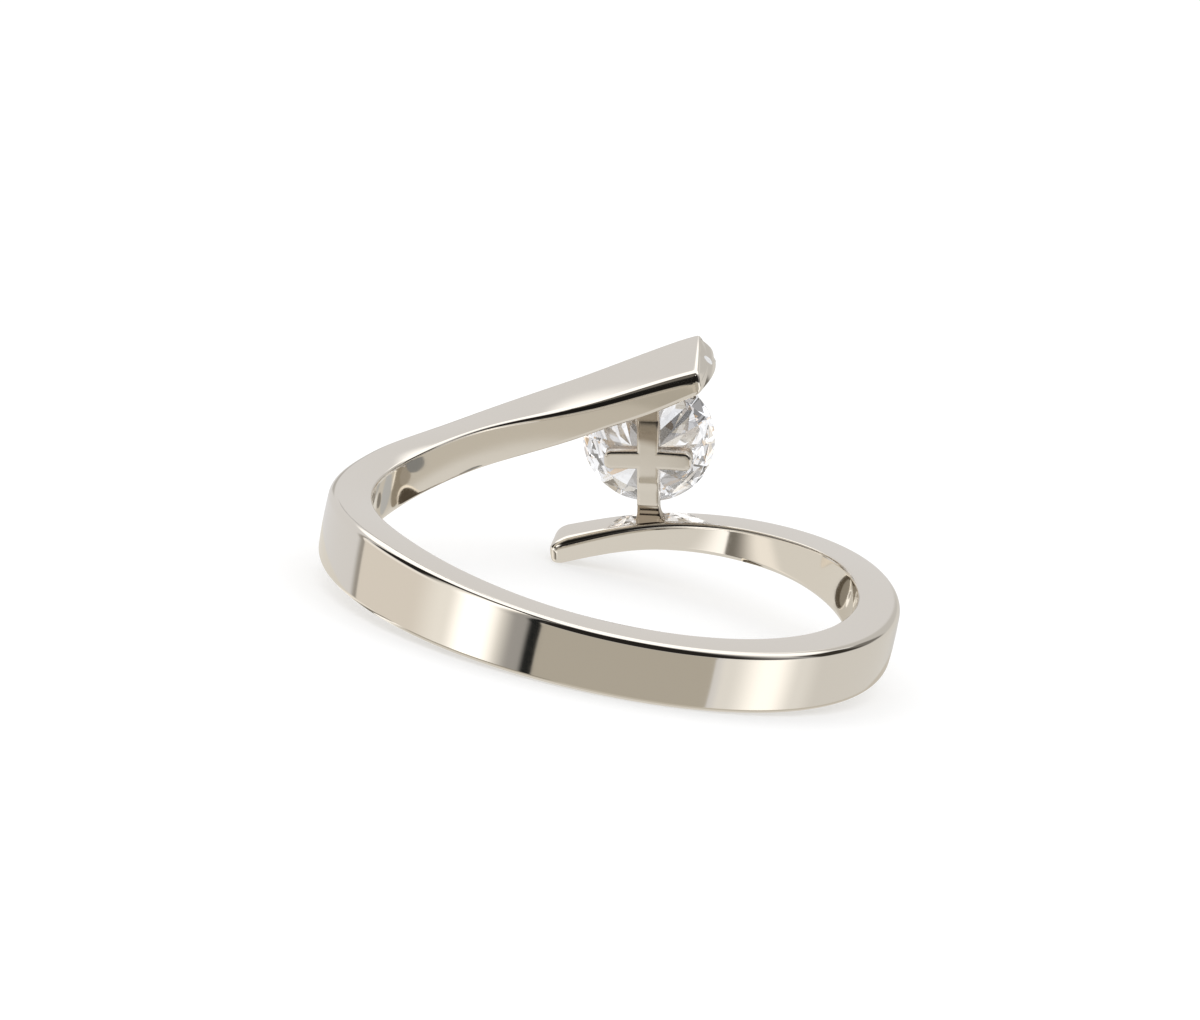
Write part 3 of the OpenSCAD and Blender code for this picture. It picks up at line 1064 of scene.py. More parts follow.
@dataclass
class CrossCradle:
    """The upright bar from arm to arm and the bar across it, under the stone's point."""

    stone: Stone
    # Sizes of the flat cross, its heights from the stone's axis, and the rows that it is bent along.
    bar_w: float = 0.78
    bar_low: float = -2.55
    bar_high: float = 2.30
    bar_step: float = 0.035
    cross_top: float = 0.32
    cross_base: float = -0.34
    cross_l: float = 3.10
    cross_step: float = 0.12
    depth: float = 0.75
    front_recess: float = 0.07
    shift: float = 0.21
    turn_deg: float = 12.5
    soft: float = 0.11
    end_soft: float = 0.25
    flares: tuple[float, float] = (0.05, 0.20)
    flare_from: float = -1.80
    flare_to: float = -2.20
    ease_fade: float = 0.3
    easings: tuple[Easing, ...] = (Easing(0.70, 1.45, 0.10), Easing(-1.58, -1.74, 0.15, steep=True))
    ripples: tuple[Ripple, ...] = (
        Ripple(-0.86, 0.16, 0.022),
        Ripple(-1.90, 0.05, 0.035),
        Ripple(-2.08, 0.05, 0.035),
    )
    crease_deg: float = 50.0
    touch: float = 1e-5

    def flat_cross(self) -> BMesh:
        """Make the cross as a flat slab with rounded edges.

        Returns:
            Its faces, X along the cross bar, Y its depth and Z along the upright bar.
        """
        half, wide = self.bar_w / 2, self.cross_l / 2
        right = ((half, self.bar_low), (half, self.cross_base), (wide, self.cross_base))
        right += ((wide, self.cross_top), (half, self.cross_top), (half, self.bar_high))
        left = [(-x, z) for x, z in reversed(right)]
        outline = (left[-1], *right, *left[:-1])
        work = prism([(x, 0.0, z) for x, z in outline], Vector((0, self.depth, 0)))
        ends = [e for e in work.edges if all(abs(abs(v.co.x) - wide) < self.touch for v in e.verts)]
        ends = [e for e in ends if abs(e.verts[0].co.y - e.verts[1].co.y) > self.depth / 2]
        soften(work, ends, self.end_soft, segments=8)
        rim = [e for e in work.edges if all(abs(v.co.y) < self.touch for v in e.verts)]
        soften(work, rim, self.soft, segments=6)
        self.slice(work, Vector((1, 0, 0)), -wide, wide, self.cross_step)
        self.slice(work, Vector((0, 0, 1)), self.bar_low, self.bar_high, self.bar_step)
        return work

    def slice(self, work: BMesh, axis: Vector, low: float, high: float, step: float) -> None:
        """Add rows of vertices across a mesh, so that it can be bent.

        Args:
            work: The mesh.
            axis: The direction along which the rows follow one another.
            low: Where the rows start.
            high: Where they end.
            step: Distance between two rows.
        """
        for i in range(1, round((high - low) / step)):
            parts = [*work.verts, *work.edges, *work.faces]
            place = axis * (low + i * step)
            bmesh.ops.bisect_plane(work, geom=parts, plane_co=place, plane_no=axis, dist=1e-4)

    def bent(self, point: Vector) -> Vector:
        """Bend a point of the flat slab onto the finger hole, with the foot's flare and the eased front.

        Args:
            point: Point of the flat slab.

        Returns:
            The point in the ring's frame.
        """
        x, depth, z = point
        fall = unit((self.flare_from - z) / (self.flare_from - self.flare_to))
        if fall > 0:
            x += self.flares[0 if x < 0 else 1] * (1 - math.sqrt(1 - fall**2)) * x / (self.bar_w / 2)
        eased = sum(easing.at(z) for easing in self.easings) - sum(ripple.at(z) for ripple in self.ripples)
        eased *= max(1 - max(abs(x) - self.bar_w / 2, 0.0) / self.ease_fade, 0.0)
        turn = math.radians(-self.turn_deg)
        x += self.shift
        across = x * math.cos(turn) + z * math.sin(turn)
        up = -x * math.sin(turn) + z * math.cos(turn)
        front = math.sqrt((self.stone.finger_r + self.front_recess) ** 2 - across**2)
        back = self.stone.finger_r + self.depth
        share = depth / self.depth
        radial = front + (back - front) * share + eased * (1 - share)
        return self.stone.head_frame() @ Vector((across, radial, up))

    def build(self, metal: Material) -> Object:
        """Build the cradle.

        Args:
            metal: Its metal.

        Returns:
            The cradle in the ring's frame.
        """
        work = self.flat_cross()
        for vert in work.verts:
            vert.co = self.bent(vert.co.copy())
        bmesh.ops.recalc_face_normals(work, faces=work.faces)
        made = finished(work, "cross_cradle", metal)
        sharpen(made.data, self.crease_deg)
        return made


@dataclass
class Claw:
    """The claw behind the cradle that closes over the stone's lower edge."""

    stone: Stone
    width: float = 0.5
    turn_deg: float = 12.0
    # Sizes of the outline, from the girdle's lower edge, the stone's middle and the finger hole.
    thick: float = 0.45
    grip: float = 0.38
    foot_out: float = 0.5
    foot_low: float = -2.85
    foot_high: float = -2.3
    heel_out: float = 0.42
    heel_cut: float = 0.15
    lip: float = 0.1
    throat: float = 0.5
    back: float = 0.7
    clear: float = 0.02
    soft: float = 0.07

    def build(self, metal: Material) -> Object:
        """Build the claw.

        Args:
            metal: Its metal.

        Returns:
            The claw in the ring's frame.
        """
        head = self.stone.head_r
        girdle = self.stone.radius + self.stone.gap
        foot = self.stone.finger_r + self.foot_out
        heel = head + self.heel_out
        profile = (
            (foot, self.foot_high),
            (head - self.throat, -girdle - self.clear),
            (head - self.lip, -girdle + self.lip),
            (head + self.lip, -girdle + self.grip),
            (heel, -girdle + self.grip),
            (heel, -girdle - self.heel_cut),
            (heel - self.heel_cut, -girdle - self.thick),
            (head - self.back, -girdle - self.thick - self.lip),
            (foot, self.foot_low),
        )
        work = prism([(-self.width / 2, y, z) for y, z in profile], Vector((self.width, 0, 0)))
        soften(work, list(work.edges), self.soft, segments=3)
        bmesh.ops.transform(work, matrix=self.stone.head_frame(self.turn_deg), verts=work.verts)
        return finished(work, "stone_claw", metal)


POLISH_SIZES = ("Wave Size", "Wave Height", "Mark Size", "Mark Height", "Roughness", "Roughness Spread")


def hand_polish_group(stretch: tuple[float, ...] = (0.25, 0.25, 1.0)) -> NodeTree:
    """Build the node group for a hand-polished surface: slow waves and fine wheel marks.

    Args:
        stretch: How closely the wheel marks follow one another along each axis.

    Returns:
        The group, with the sizes of both as inputs and a height and a roughness as outputs.
    """
    takes, gives = (dict.fromkeys(names, "Float") for names in (POLISH_SIZES, ("Height", "Roughness")))
    desk = NodeDesk.group("hand_polish", "Shader", takes, gives)
    given = desk.add("NodeGroupInput").outputs
    spot = desk.add("ShaderNodeTexCoord").outputs["Object"]

    def noise(place: NodeSocket, size: str, detail: float) -> NodeSocket:
        """Return a noise of a given size."""
        scale = desk.math("DIVIDE", 1.0, given[size])
        return desk.add("ShaderNodeTexNoise", {"Vector": place, "Scale": scale, "Detail": detail}).outputs[0]

    waves = noise(spot, "Wave Size", 1.0)
    marks = noise(desk.vector("MULTIPLY", spot, stretch), "Mark Size", 3.0)
    wave_height = desk.math("MULTIPLY", waves, given["Wave Height"])
    mark_height = desk.math("MULTIPLY", marks, given["Mark Height"])
    spread = desk.math("MULTIPLY", desk.math("SUBTRACT", marks, 0.5), given["Roughness Spread"])
    height = desk.math("ADD", wave_height, mark_height)
    roughness = desk.math("ADD", given["Roughness"], spread)
    desk.add("NodeGroupOutput", {"Height": height, "Roughness": roughness})
    return desk.tree


@dataclass(frozen=True)
class PaintedShade:
    """Painted shade: brown darkening of the cradle deep behind its front, towards its foot and under the
    upper arm, by places in the ring's frame.
    """

    # The painted shade's brown, then where it fades in by depth, towards the foot and under the upper arm.
    colour: Colour = (0.40, 0.335, 0.26)
    depth_from: float = 8.80
    depth_to: float = 9.00
    foot_from: float = -0.38
    foot_to: float = -0.50
    head_from: float = 1.70
    head_to: float = 2.10
    head_share: float = 0.75

    def mask(self, desk: NodeDesk) -> NodeSocket:
        """Build the nodes that tell how much painted shade a spot gets.

        Args:
            desk: The material's nodes.

        Returns:
            The share of painted shade, from 0 to 1.
        """
        x, y, z = desk.ring_place()
        radius = desk.math("SQRT", desk.math("ADD", desk.math("MULTIPLY", x, x), desk.math("MULTIPLY", y, y)))
        deep = desk.ramp(radius, self.depth_from, self.depth_to)
        foot = desk.ramp(z, self.foot_to, self.foot_from, 1, 0)
        head = desk.ramp(z, self.head_from, self.head_to, 0, self.head_share)
        return desk.math("MAXIMUM", deep, desk.math("MAXIMUM", foot, head))


@dataclass(frozen=True)
class WhiteGold:
    """White gold, polished by hand."""

    name: str
    colour: Colour = (0.83, 0.79, 0.73)
    roughness: float = 0.06
    roughness_spread: float = 0.04
    # Sizes and heights of the surface's slow waves and fine marks in metres.
    wave_size: float = 0.0022
    wave_height: float = 0.0000035
    mark_size: float = 0.00012
    mark_height: float = 0.00000008
    # Painted shade laid over the colour, or None.
    painted_shade: PaintedShade | None = None

    def build(self, polish: NodeTree) -> Material:
        """Build the material.

        Args:
            polish: The shared node group of the polished surface.

        Returns:
            The finished material.
        """
        material, desk = new_material(self.name)
        surface = desk.add("ShaderNodeGroup", node_tree=polish)
        height = desk.fill(surface, by_name(self, POLISH_SIZES)).outputs["Height"]
        bump = desk.add("ShaderNodeBump", {"Height": height, "Strength": 1.0, "Distance": 1.0})
        inputs = {
            "Base Color": self.colour,
            "Metallic": 1.0,
            "Normal": bump.outputs["Normal"],
            "Roughness": surface.outputs["Roughness"],
        }
        if self.painted_shade:
            # Painted shade: the colour turns brown in the recesses and under the upper arm.
            inputs["Base Color"] = desk.blend(self.painted_shade.mask(desk), self.colour, self.painted_shade.colour)
        desk.fill(desk.tree.nodes["Principled BSDF"], inputs)
        return material


@dataclass(frozen=True)
class CutDiamond:
    """Clear cut diamond. Painted light: where a ray has turned inside it more than a few times, the stone
    glows in small cells of dark, grey, brown and white, painted glints that stand in for its further
    reflections.
    """

    name: str = "cut_diamond"
    ior: float = 2.417
    # Sizes of the painted glints and of the facets' faint marks in metres, and turns of light before a
    # painted glint shows.
    glint_size: float = 0.0007
    glints: Stops = (
        (0.0, (0.03, 0.028, 0.026)),
        (0.22, (0.14, 0.138, 0.14)),
        (0.46, (0.34, 0.34, 0.35)),
        (0.60, (0.46, 0.32, 0.19)),
        (0.67, (0.72, 0.73, 0.76)),
    )
    turns: float = 3.5
    facet_marks: float = 0.00009
    marks_from: float = 0.55
    marks_to: float = 0.9
    facet_roughness: float = 0.012

    def build(self) -> Material:
        """Build the material.

        Returns:
            The finished material.
        """
        material, desk = new_material(self.name)
        place = desk.add("ShaderNodeTexCoord").outputs["Object"]
        marks = desk.add("ShaderNodeTexNoise", {"Vector": place, "Scale": 1 / self.facet_marks}).outputs[0]
        # Painted light: after more than the given turns inside the stone, its surface glows with the glint
        # cells' colours.
        late = desk.math("GREATER_THAN", desk.add("ShaderNodeLightPath").outputs["Glossy Depth"], self.turns)
        glints = desk.cells(place, 1 / self.glint_size, self.glints)
        inputs = {
            "Base Color": (1.0, 1.0, 1.0),
            "IOR": self.ior,
            "Transmission Weight": 1.0,
            "Roughness": desk.ramp(marks, self.marks_from, self.marks_to, 0, self.facet_roughness),
            "Emission Color": desk.blend(late, (0.0, 0.0, 0.0), glints),
            "Emission Strength": 1.0,
        }
        desk.fill(desk.tree.nodes["Principled BSDF"], inputs)
        return material


@dataclass(frozen=True)
class Panel:
    """One light, card or flag of the studio, by the directions that it fills in the ring's frame.

    Azimuths run from the camera's side (0) to the right (90), in degrees. Elevations run upwards.
    """

    name: str
    light: Colour
    left: float
    right: float
    left_fade: float = 2.0
    right_fade: float = 2.0
    low: float = -95.0
    high: float = 95.0
    low_fade: float = 2.0
    high_fade: float = 2.0

    @property
    def middle(self) -> float:
        """Return the azimuth of the panel's middle."""
        return (self.left + self.right) / 2

    @property
    def half_width(self) -> float:
        """Return half the panel's width in degrees."""
        return (self.right - self.left) / 2


PANEL_SIZES = ("Middle", "Half Width", "Left Fade", "Right Fade", "Low", "High", "Low Fade", "High Fade")

# The panels lie over one another in this order, the last on top.
STUDIO_PANELS: tuple[Panel, ...] = (
    Panel("pale_floor_side", (0.58, 0.55, 0.51), -180, 180, high=-34, high_fade=10),
    Panel("rear_floor_shade", (0.16, 0.155, 0.15), -132, -118, 6, 8, high=-42, high_fade=6),
    Panel("rear_shade", (0.50, 0.485, 0.46), -168, -162, 4, 4, low=0, high=7, low_fade=4, high_fade=4),
    Panel("ceiling_behind", (1.38, 1.365, 1.34), 90, 270, 30, 30, low=31, low_fade=5.5),
    Panel("rear_card", (0.60, 0.585, 0.56), 138, 165, 4, 10, low=-60, high=38, high_fade=6),
    Panel("dark_front_ceiling", (0.02, 0.018, 0.016), -102, 55, 9, 75, 12, 76, low_fade=8, high_fade=12),
    Panel("right_flag", (0.04, 0.036, 0.03), 98, 126, 7, 10, low=6, high=34, low_fade=8, high_fade=8),
    Panel("far_right_flag", (0.20, 0.19, 0.175), 128, 137, 10, 7, low=11, high=26, low_fade=8, high_fade=6),
    Panel("left_wall", (0.78, 0.73, 0.66), -113, -60, 2, 6, high=-10, high_fade=6),
    Panel("left_ledge", (0.98, 0.94, 0.88), -113, -60, 2, 6, low=-7, high=2, low_fade=5, high_fade=6),
    Panel("left_seam", (0.36, 0.34, 0.31), -112.6, -112.0, 5, 1.4, high=34, high_fade=8),
    Panel("right_wall", (0.72, 0.70, 0.66), 85, 150, 20, 30, high=2, high_fade=8),
    Panel("left_soft_box_glow", (0.95, 0.92, 0.86), -62, -34, 16, 10, high=52, high_fade=12),
    Panel("left_soft_box", (1.50, 1.47, 1.42), -51, -44, 10, 8.5, high=60, high_fade=8),
    Panel("left_flag_halo", (0.37, 0.36, 0.345), -30.5, -22, 9, 2.0, high=80, low=-70),
    Panel("left_flag", (0.015, 0.016, 0.016), -24.6, -21.6, 2.8, 1.7, high=80, low=-70),
    Panel("front_card", (0.485, 0.450, 0.385), -20.5, 47.5, 1.0, 1.2, high=3, high_fade=7),
    Panel("right_soft_box_glow", (0.86, 0.84, 0.80), 53, 88, 4, 12, high=3, high_fade=7),
    Panel("right_soft_box", (1.34, 1.31, 1.25), 71, 74, 16, 14, high=3, high_fade=7),
)


@dataclass(frozen=True)
class CardStrip:
    """A strip of the under card, from one distance beyond its line to another."""

    light: Colour
    begin: float
    end: float


# The strips lie beside the line where the finger hole's wall changes from bright to dark, the last on
# top. Distances run away from the bright side, in millimetres.
CARD_STRIPS: tuple[CardStrip, ...] = (
    CardStrip((1.30, 1.27, 1.22), -2.8, -0.3),  # bright
    CardStrip((0.20, 0.185, 0.16), -0.1, 0.1),  # dark
    CardStrip((1.00, 0.95, 0.87), 0.5, 3.4),  # pale
    CardStrip((0.77, 0.74, 0.68), 4.2, 5.6),  # even
)


@dataclass
class UnderCard:
    """The round card below the floor that the finger hole's walls mirror. Pairs are a fade's two ends."""

    finger_r: float = FINGER_R
    reach: float = 18.6
    below: float = 5.5
    far_light: Colour = (0.60, 0.56, 0.49)
    near_light: Colour = (0.76, 0.735, 0.685)
    near_fade: tuple[float, float] = (12.5, 14.1)
    rim_light: Colour = (0.27, 0.25, 0.21)
    rim_fade: tuple[float, float] = (16.4, 17.3)
    rim_side: tuple[float, float] = (-4.0, -1.5)
    strip_side: tuple[float, float] = (-3.2, -2.2)
    wall_deg: float = -26.0
    sides: int = 96

    def material(self) -> Material:
        """Build the card's glow.

        Returns:
            A material with rings of tone and strips beside one line.
        """
        material, desk = new_material("under_card_glow")
        desk.tree.nodes.clear()
        x, y, _ = desk.ring_place()
        flat = desk.add("ShaderNodeCombineXYZ", {"X": x, "Y": y}).outputs[0]
        radius = desk.vector("LENGTH", flat)
        turn = math.radians(2 * self.wall_deg)
        side = (-math.cos(turn), -math.sin(turn), 0.0)
        line = self.finger_r * math.sin(turn / 2)
        past = desk.math("ADD", desk.vector("DOT_PRODUCT", flat, side), line)
        rim = desk.math("MULTIPLY", desk.ramp(radius, *self.rim_fade), desk.ramp(x, *self.rim_side, 1, 0))
        near = desk.ramp(radius, *self.near_fade, 1, 0)
        left = desk.ramp(x, *self.strip_side, 1, 0)
        colour = desk.blend(rim, self.far_light, self.rim_light)
        colour = desk.blend(near, colour, self.near_light)
        for strip in CARD_STRIPS:
            mask = desk.math("MULTIPLY", desk.ramp(past, strip.begin, strip.end), left)
            colour = desk.blend(mask, colour, strip.light)
        glow = desk.add("ShaderNodeEmission", {"Color": colour})
        desk.add("ShaderNodeOutputMaterial", {"Surface": glow.outputs[0]})
        return material

    def build(self) -> None:
        """Build the card."""
        ring = [round_point(360 * i / self.sides, self.reach, -self.below) for i in range(self.sides)]
        reflected_stage("under_card", ring, [range(self.sides)], self.material())


def one_sided_glow() -> Material:
    """Build the material of the helpers that glow on their inner side and are clear on their outer side.

    Returns:
        The material, which reads each vertex's glow.
    """
    material, desk = new_material("dark_hood")
    desk.tree.nodes.clear()
    tone = desk.add("ShaderNodeAttribute", attribute_name="glow").outputs["Color"]
    inside = desk.add("ShaderNodeEmission", {"Color": tone}).outputs[0]
    back = desk.add("ShaderNodeNewGeometry").outputs["Backfacing"]
    clear = desk.add("ShaderNodeBsdfTransparent").outputs[0]
    mix = desk.add("ShaderNodeMixShader", {0: back, 1: clear, 2: inside})
    desk.add("ShaderNodeOutputMaterial", {"Surface": mix.outputs[0]})
    return material


@dataclass
class DarkHood:
    """The dark hood in front of both arms that their inner edges mirror, open from outside."""

    # Its middle and radius in the ring's frame, and the directions from the middle that it covers.
    centre: tuple[float, float, float] = (-0.3, 9.0, 2.2)
    radius: float = 11.0
    left: float = -92.0
    right: float = 5.0
    low: float = 8.0
    high: float = 66.0
    step: float = 6.0
    dark: float = 0.012
    side_glow: float = 0.17
    side_from: float = -48.0
    side_to: float = -60.0
    rim_glow: float = 0.10
    tint: Colour = (1.0, 0.93, 0.82)

    def tone(self, turn: float, rise: float) -> Colour:
        """Work out the hood's glow, stronger at its left side and its lower rim.

        Args:
            turn: Azimuth of the direction from the hood's centre in degrees.
            rise: Its elevation.

        Returns:
            The glow in that direction.
        """
        side = unit((self.side_from - turn) / (self.side_from - self.side_to))
        rim = unit(1 - (rise - self.low) / self.step)
        glow = max(self.dark, self.side_glow * side, self.rim_glow * rim)
        return tuple(glow * share for share in self.tint)

    def build(self, material: Material) -> None:
        """Build the hood.

        Args:
            material: The one-sided glow.
        """
        turns = round((self.right - self.left) / self.step)
        rises = round((self.high - self.low) / self.step)
        points, tones = [], []
        for i in range(turns + 1):
            for j in range(rises + 1):
                turn_deg = self.left + (self.right - self.left) * i / turns
                rise_deg = self.low + (self.high - self.low) * j / rises
                tones.append(self.tone(turn_deg, rise_deg))
                turn, rise = math.radians(turn_deg), math.radians(rise_deg)
                flat = math.cos(rise)
                way = Vector((math.sin(turn) * flat, -math.cos(turn) * flat, math.sin(rise)))
                points.append(Vector(self.centre) + way * self.radius)
        row = rises + 1
        starts = [i * row + j for i in range(turns) for j in range(rises)]
        faces = [(start, start + row, start + row + 1, start + 1) for start in starts]
        reflected_stage("dark_hood", points, faces, material, tones)


@dataclass(frozen=True)
class CardSpot:
    """A round spot of tone that stands inside the ring, by its ring azimuth and its ring place in mm."""

    light: Colour
    azimuth: float
    radius: float
    height: float
    half_width: float
    half_height: float


# The spots stand for the setting's many reflections inside the two bends, the last in front.
CARD_SPOTS: tuple[CardSpot, ...] = (
    CardSpot((0.50, 0.50, 0.49), -150, 8.95, -2.20, 0.55, 0.85),  # left, pale
    CardSpot((0.30, 0.26, 0.20), -150, 7.95, -1.70, 0.36, 0.85),  # left, brown
    CardSpot((0.36, 0.32, 0.26), -150, 7.62, -1.28, 0.26, 0.36),  # left, join
    CardSpot((0.25, 0.25, 0.24), -150, 7.38, -0.66, 0.30, 0.42),  # left, grey
    CardSpot((0.24, 0.22, 0.19), -150, 9.9, -2.65, 0.45, 0.30),  # left, far
    CardSpot((1.05, 0.97, 0.83), -150, 8.28, -1.45, 0.07, 0.50),  # left, line
    CardSpot((1.05, 0.95, 0.80), -150, 7.36, -2.00, 0.40, 0.47),  # left, glint
    CardSpot((0.085, 0.068, 0.048), -150, 7.32, -2.05, 0.36, 0.44),  # left, dark
    CardSpot((1.00, 0.92, 0.78), 150, 8.55, -1.80, 0.66, 0.74),  # right, glint
    CardSpot((0.10, 0.08, 0.055), 150, 8.42, -1.84, 0.62, 0.66),  # right, dark
    CardSpot((0.28, 0.25, 0.20), 150, 8.62, -1.88, 0.46, 0.52),  # right, brown
    CardSpot((1.15, 1.10, 1.00), 150, 9.30, -2.15, 0.28, 0.34),  # right, sparkle
    CardSpot((0.34, 0.30, 0.25), 150, 9.34, -2.02, 0.14, 0.16),  # right, patch
)


@dataclass
class BendCards:
    """The spots that the insides of the two bends mirror, open from the other side."""

    sides: int = 36
    step: float = 0.03

    def build(self, material: Material) -> None:
        """Build the spots as one object.

        Args:
            material: The one-sided glow.
        """
        points, faces, tones = [], [], []
        for order, spot in enumerate(CARD_SPOTS):
            side = math.copysign(1.0, spot.azimuth)
            turn = math.radians(spot.azimuth)
            out = Vector((math.sin(turn), -math.cos(turn), 0.0))
            front = Vector((math.cos(turn), math.sin(turn), 0.0)) * (-side * self.step * order)
            for i in range(self.sides):
                share = -side * math.tau * i / self.sides
                width = spot.radius + spot.half_width * math.cos(share)
                height = spot.height + spot.half_height * math.sin(share)
                points.append(out * width + Vector((0.0, 0.0, height)) + front)
                tones.append(spot.light)
            faces.append(range(order * self.sides, (order + 1) * self.sides))
        reflected_stage("bend_cards", points, faces, material, tones)


@dataclass
class Studio:
    """The white floor, the light round the ring and the camera."""

    # Half the floor's side in metres, and how bright its paper is.
    floor_reach: float = 0.6
    floor_glow: float = 0.44
    floor_tone: float = 0.60
    back_wall: Colour = (0.75, 0.74, 0.735)
    dome: float = 1.12
    backdrop: float = 1.0
    cell_deg: float = 11.0
    stone_cells: Stops = (
        (0.0, (0.11, 0.105, 0.10)),
        (0.12, (0.38, 0.37, 0.37)),
        (0.26, (0.62, 0.62, 0.64)),
        (0.40, (0.66, 0.48, 0.31)),
        (0.47, (0.96, 0.97, 1.0)),
    )
    # The camera's distance is in millimetres. The ring's centre lies at centre_px of a picture with
    # the size frame_px, where scale pixels make a millimetre.
    lens: float = 218.52
    sensor: float = 36.0
    distance: float = 249.853
    scale: float = 29.154
    elevation_deg: float = 18.639
    lean_deg: float = 12.847
    centre_px: tuple[float, float] = (610.507, 567.954)
    frame_px: tuple[float, float] = (1200.0, 1020.0)
    clip_start: float = 0.01
    clip_end: float = 10.0

    def floor(self) -> None:
        """Lay the pale floor under the ring."""
        mesh = bpy.data.meshes.new("studio_floor")
        r = self.floor_reach
        mesh.from_pydata([(-r, -r, 0), (r, -r, 0), (r, r, 0), (-r, r, 0)], [], [(0, 1, 2, 3)])
        floor = new_object("studio_floor", mesh)
        material, desk = new_material("floor_paper")
        inputs = {
            "Base Color": (self.floor_tone,) * 3,
            "Roughness": 1.0,
            "Specular IOR Level": 0.0,
            "Emission Color": (1.0, 1.0, 1.0),
            "Emission Strength": self.floor_glow,
        }
        desk.fill(desk.tree.nodes["Principled BSDF"], inputs)
        mesh.materials.append(material)
        floor.visible_glossy = False
        floor.visible_transmission = False

    def panel_group(self) -> NodeTree:
        """Build the node group that works out how far a direction lies inside a panel.

        Returns:
            The group, with the direction's two angles, the panel's edges and fades, and a mask.
        """
        takes = dict.fromkeys(("Azimuth", "Elevation", *PANEL_SIZES), "Float")
        desk = NodeDesk.group("panel_mask", "Shader", takes, {"Mask": "Float"})
        given = desk.add("NodeGroupInput").outputs
        turn = desk.math("SUBTRACT", given["Azimuth"], given["Middle"])
        turn = desk.math("WRAP", turn, 180.0, -180.0)
        half, rise = given["Half Width"], given["Elevation"]
        near_left = desk.math("MULTIPLY", half, -1.0)
        far_left = desk.math("SUBTRACT", near_left, given["Left Fade"])
        far_right = desk.math("ADD", half, given["Right Fade"])
        below = desk.math("SUBTRACT", given["Low"], given["Low Fade"])
        above = desk.math("ADD", given["High"], given["High Fade"])
        mask = desk.ramp(turn, far_left, near_left)
        mask = desk.math("MULTIPLY", mask, desk.ramp(turn, half, far_right, 1, 0))
        mask = desk.math("MULTIPLY", mask, desk.ramp(rise, below, given["Low"]))
        mask = desk.math("MULTIPLY", mask, desk.ramp(rise, given["High"], above, 1, 0))
        desk.add("NodeGroupOutput", {"Mask": mask})
        return desk.tree

    def panels(self, desk: NodeDesk, azimuth: NodeSocket, elevation: NodeSocket) -> NodeSocket:
        """Lay the panels over the back wall.

        Args:
            desk: The world's nodes.
            azimuth: Azimuth of the ray in degrees.
            elevation: Elevation of the ray in degrees.

        Returns:
            The colour that the metal mirrors in that direction.
        """
        group = self.panel_group()
        colour: object = self.back_wall
        for panel in STUDIO_PANELS:
            node = desk.add("ShaderNodeGroup", node_tree=group, label=panel.name)
            sizes = {"Azimuth": azimuth, "Elevation": elevation} | by_name(panel, PANEL_SIZES)
            colour = desk.blend(desk.fill(node, sizes).outputs["Mask"], colour, panel.light)
        return colour

    def light(self) -> None:
        """Light the ring: panels where the metal mirrors them, an even dome for the floor."""
        world = bpy.data.worlds.new("studio")
        bpy.context.scene.world = world
        world.use_nodes = True
        desk = NodeDesk(world.node_tree)
        desk.tree.nodes.clear()
        ray = desk.add("ShaderNodeTexCoord").outputs["Generated"]
        axes = [column.to_3d() for column in REST.turn().to_3x3().col]
        x, y, z = (desk.vector("DOT_PRODUCT", ray, tuple(axis)) for axis in axes)
        degrees = 180 / math.pi
        azimuth = desk.math("MULTIPLY", desk.math("ARCTAN2", x, desk.math("MULTIPLY", y, -1.0)), degrees)
        elevation = desk.math("MULTIPLY", desk.math("ARCSINE", z), degrees)
        path = desk.add("ShaderNodeLightPath").outputs
        cell_x, cell_y = (desk.math("DIVIDE", angle, self.cell_deg) for angle in (azimuth, elevation))
        spot = desk.add("ShaderNodeCombineXYZ", {"X": cell_x, "Y": cell_y}).outputs[0]
        cells = desk.cells(spot, 1.0, self.stone_cells)
        colour = desk.blend(path["Is Transmission Ray"], self.panels(desk, azimuth, elevation), cells)

        def background(shade: object, strength: float) -> NodeSocket:
            """Return a background of one colour and strength."""
            return desk.add("ShaderNodeBackground", {"Color": shade, "Strength": strength}).outputs[0]

        white = (1.0, 1.0, 1.0)
        mix = {0: path["Is Diffuse Ray"], 1: background(colour, 1.0), 2: background(white, self.dome)}
        lit = desk.add("ShaderNodeMixShader", mix).outputs[0]
        mix = {0: path["Is Camera Ray"], 1: lit, 2: background(white, self.backdrop)}
        whole = desk.add("ShaderNodeMixShader", mix).outputs[0]
        desk.add("ShaderNodeOutputWorld", {"Surface": whole})

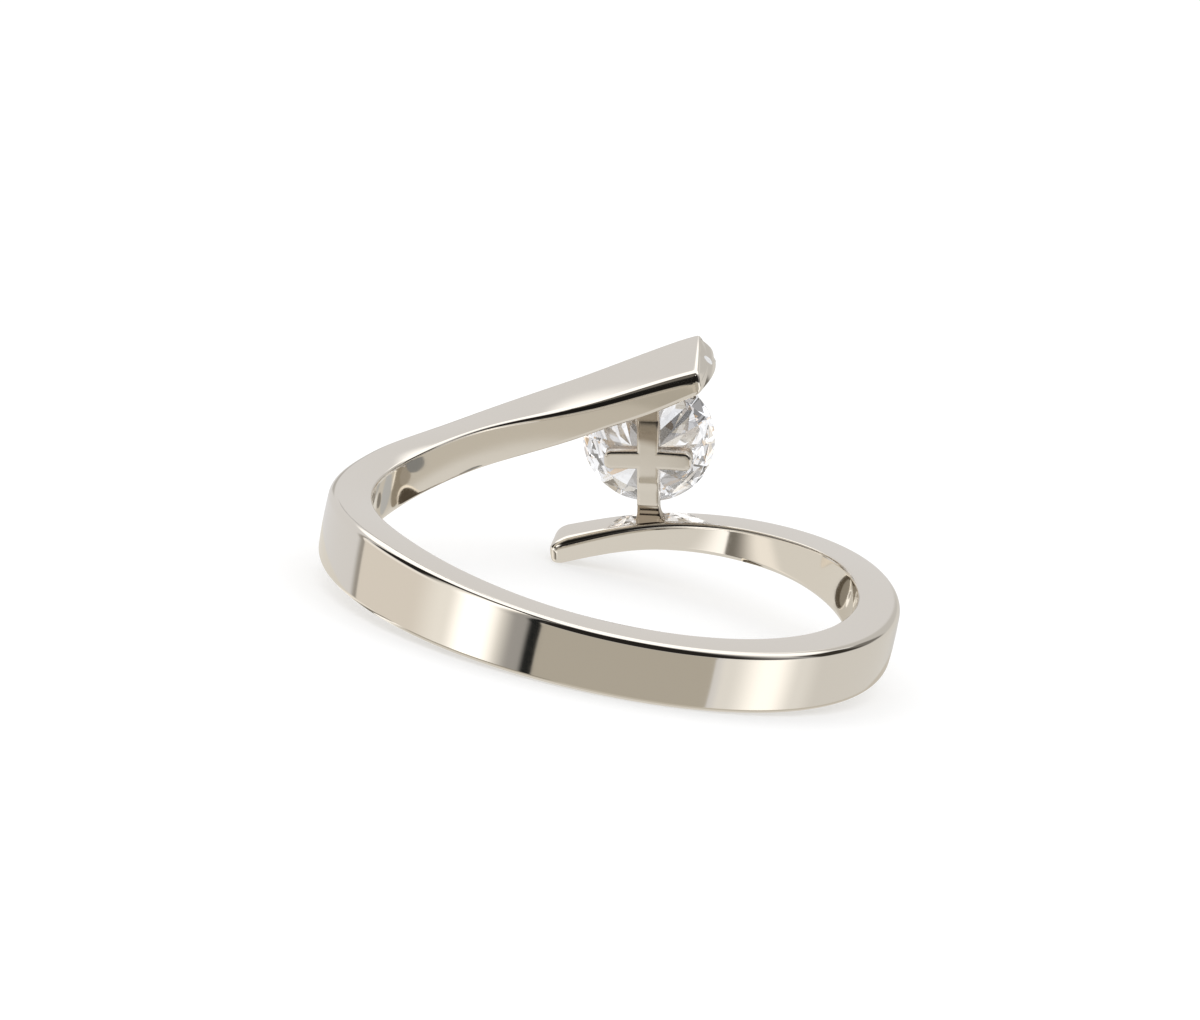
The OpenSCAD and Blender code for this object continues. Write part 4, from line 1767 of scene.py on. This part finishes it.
    def camera(self) -> None:
        """Set the camera at the photograph's viewing angle."""
        rise, lean = math.radians(self.elevation_deg), math.radians(self.lean_deg)
        level = Matrix(((1, 0, 0), (0, math.sin(rise), math.cos(rise)), (0, math.cos(rise), -math.sin(rise))))
        roll = Matrix(((math.cos(lean), math.sin(lean), 0), (-math.sin(lean), math.cos(lean), 0), (0, 0, 1)))
        rows = roll @ level
        off_x, off_y = ((spot - size / 2) / self.scale for spot, size in zip(self.centre_px, self.frame_px))
        place = -(rows.transposed() @ Vector((off_x, -off_y, self.distance)))
        turn = Matrix((rows[0], rows[1], -rows[2])).transposed().to_4x4()
        data = bpy.data.cameras.new("photo_camera")
        data.lens = self.lens
        data.sensor_width = self.sensor
        data.clip_start = self.clip_start
        data.clip_end = self.clip_end
        camera = bpy.data.objects.new("photo_camera", data)
        bpy.context.scene.collection.objects.link(camera)
        camera.matrix_world = Matrix.Translation(REST.to_row() @ place) @ REST.turn() @ turn
        bpy.context.scene.camera = camera

    def build(self) -> None:
        """Build the stage, the light and the camera."""
        self.camera()
        self.floor()
        UnderCard().build()
        one_sided = one_sided_glow()
        DarkHood().build(one_sided)
        BendCards().build(one_sided)
        self.light()
        bpy.context.scene.view_settings.view_transform = "Standard"


def write_sizes() -> None:
    """Bring the view layer up to date.
    """

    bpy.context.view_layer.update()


def main() -> None:
    """Build the ring and its studio."""
    logging.basicConfig(level=logging.INFO, format="%(name)s: %(message)s")
    Studio().build()
    polish = hand_polish_group()
    gold = WhiteGold("white_gold_polished").build(polish)
    # The cradle's metal is rougher and has painted shade in its recesses and under the upper arm.
    cast = WhiteGold(
        "white_gold_cradle", wave_size=0.0009, wave_height=0.000004, roughness=0.17, painted_shade=PaintedShade()
    ).build(polish)
    stone = Stone()
    band = Band()
    body = band.loft(gold)
    carve(body, [stone.seat_tool(), band.dimple()])
    sharpen(body.data, band.crease_deg)
    settle(body, "band")
    cradle = CrossCradle(stone).build(cast)
    carve(cradle, [stone.seat_tool()])
    settle(cradle, "band")
    settle(Claw(stone).build(cast), "band")
    settle(stone.cut(CutDiamond().build()), "diamond")
    write_sizes()


if __name__ == "__main__":
    main()
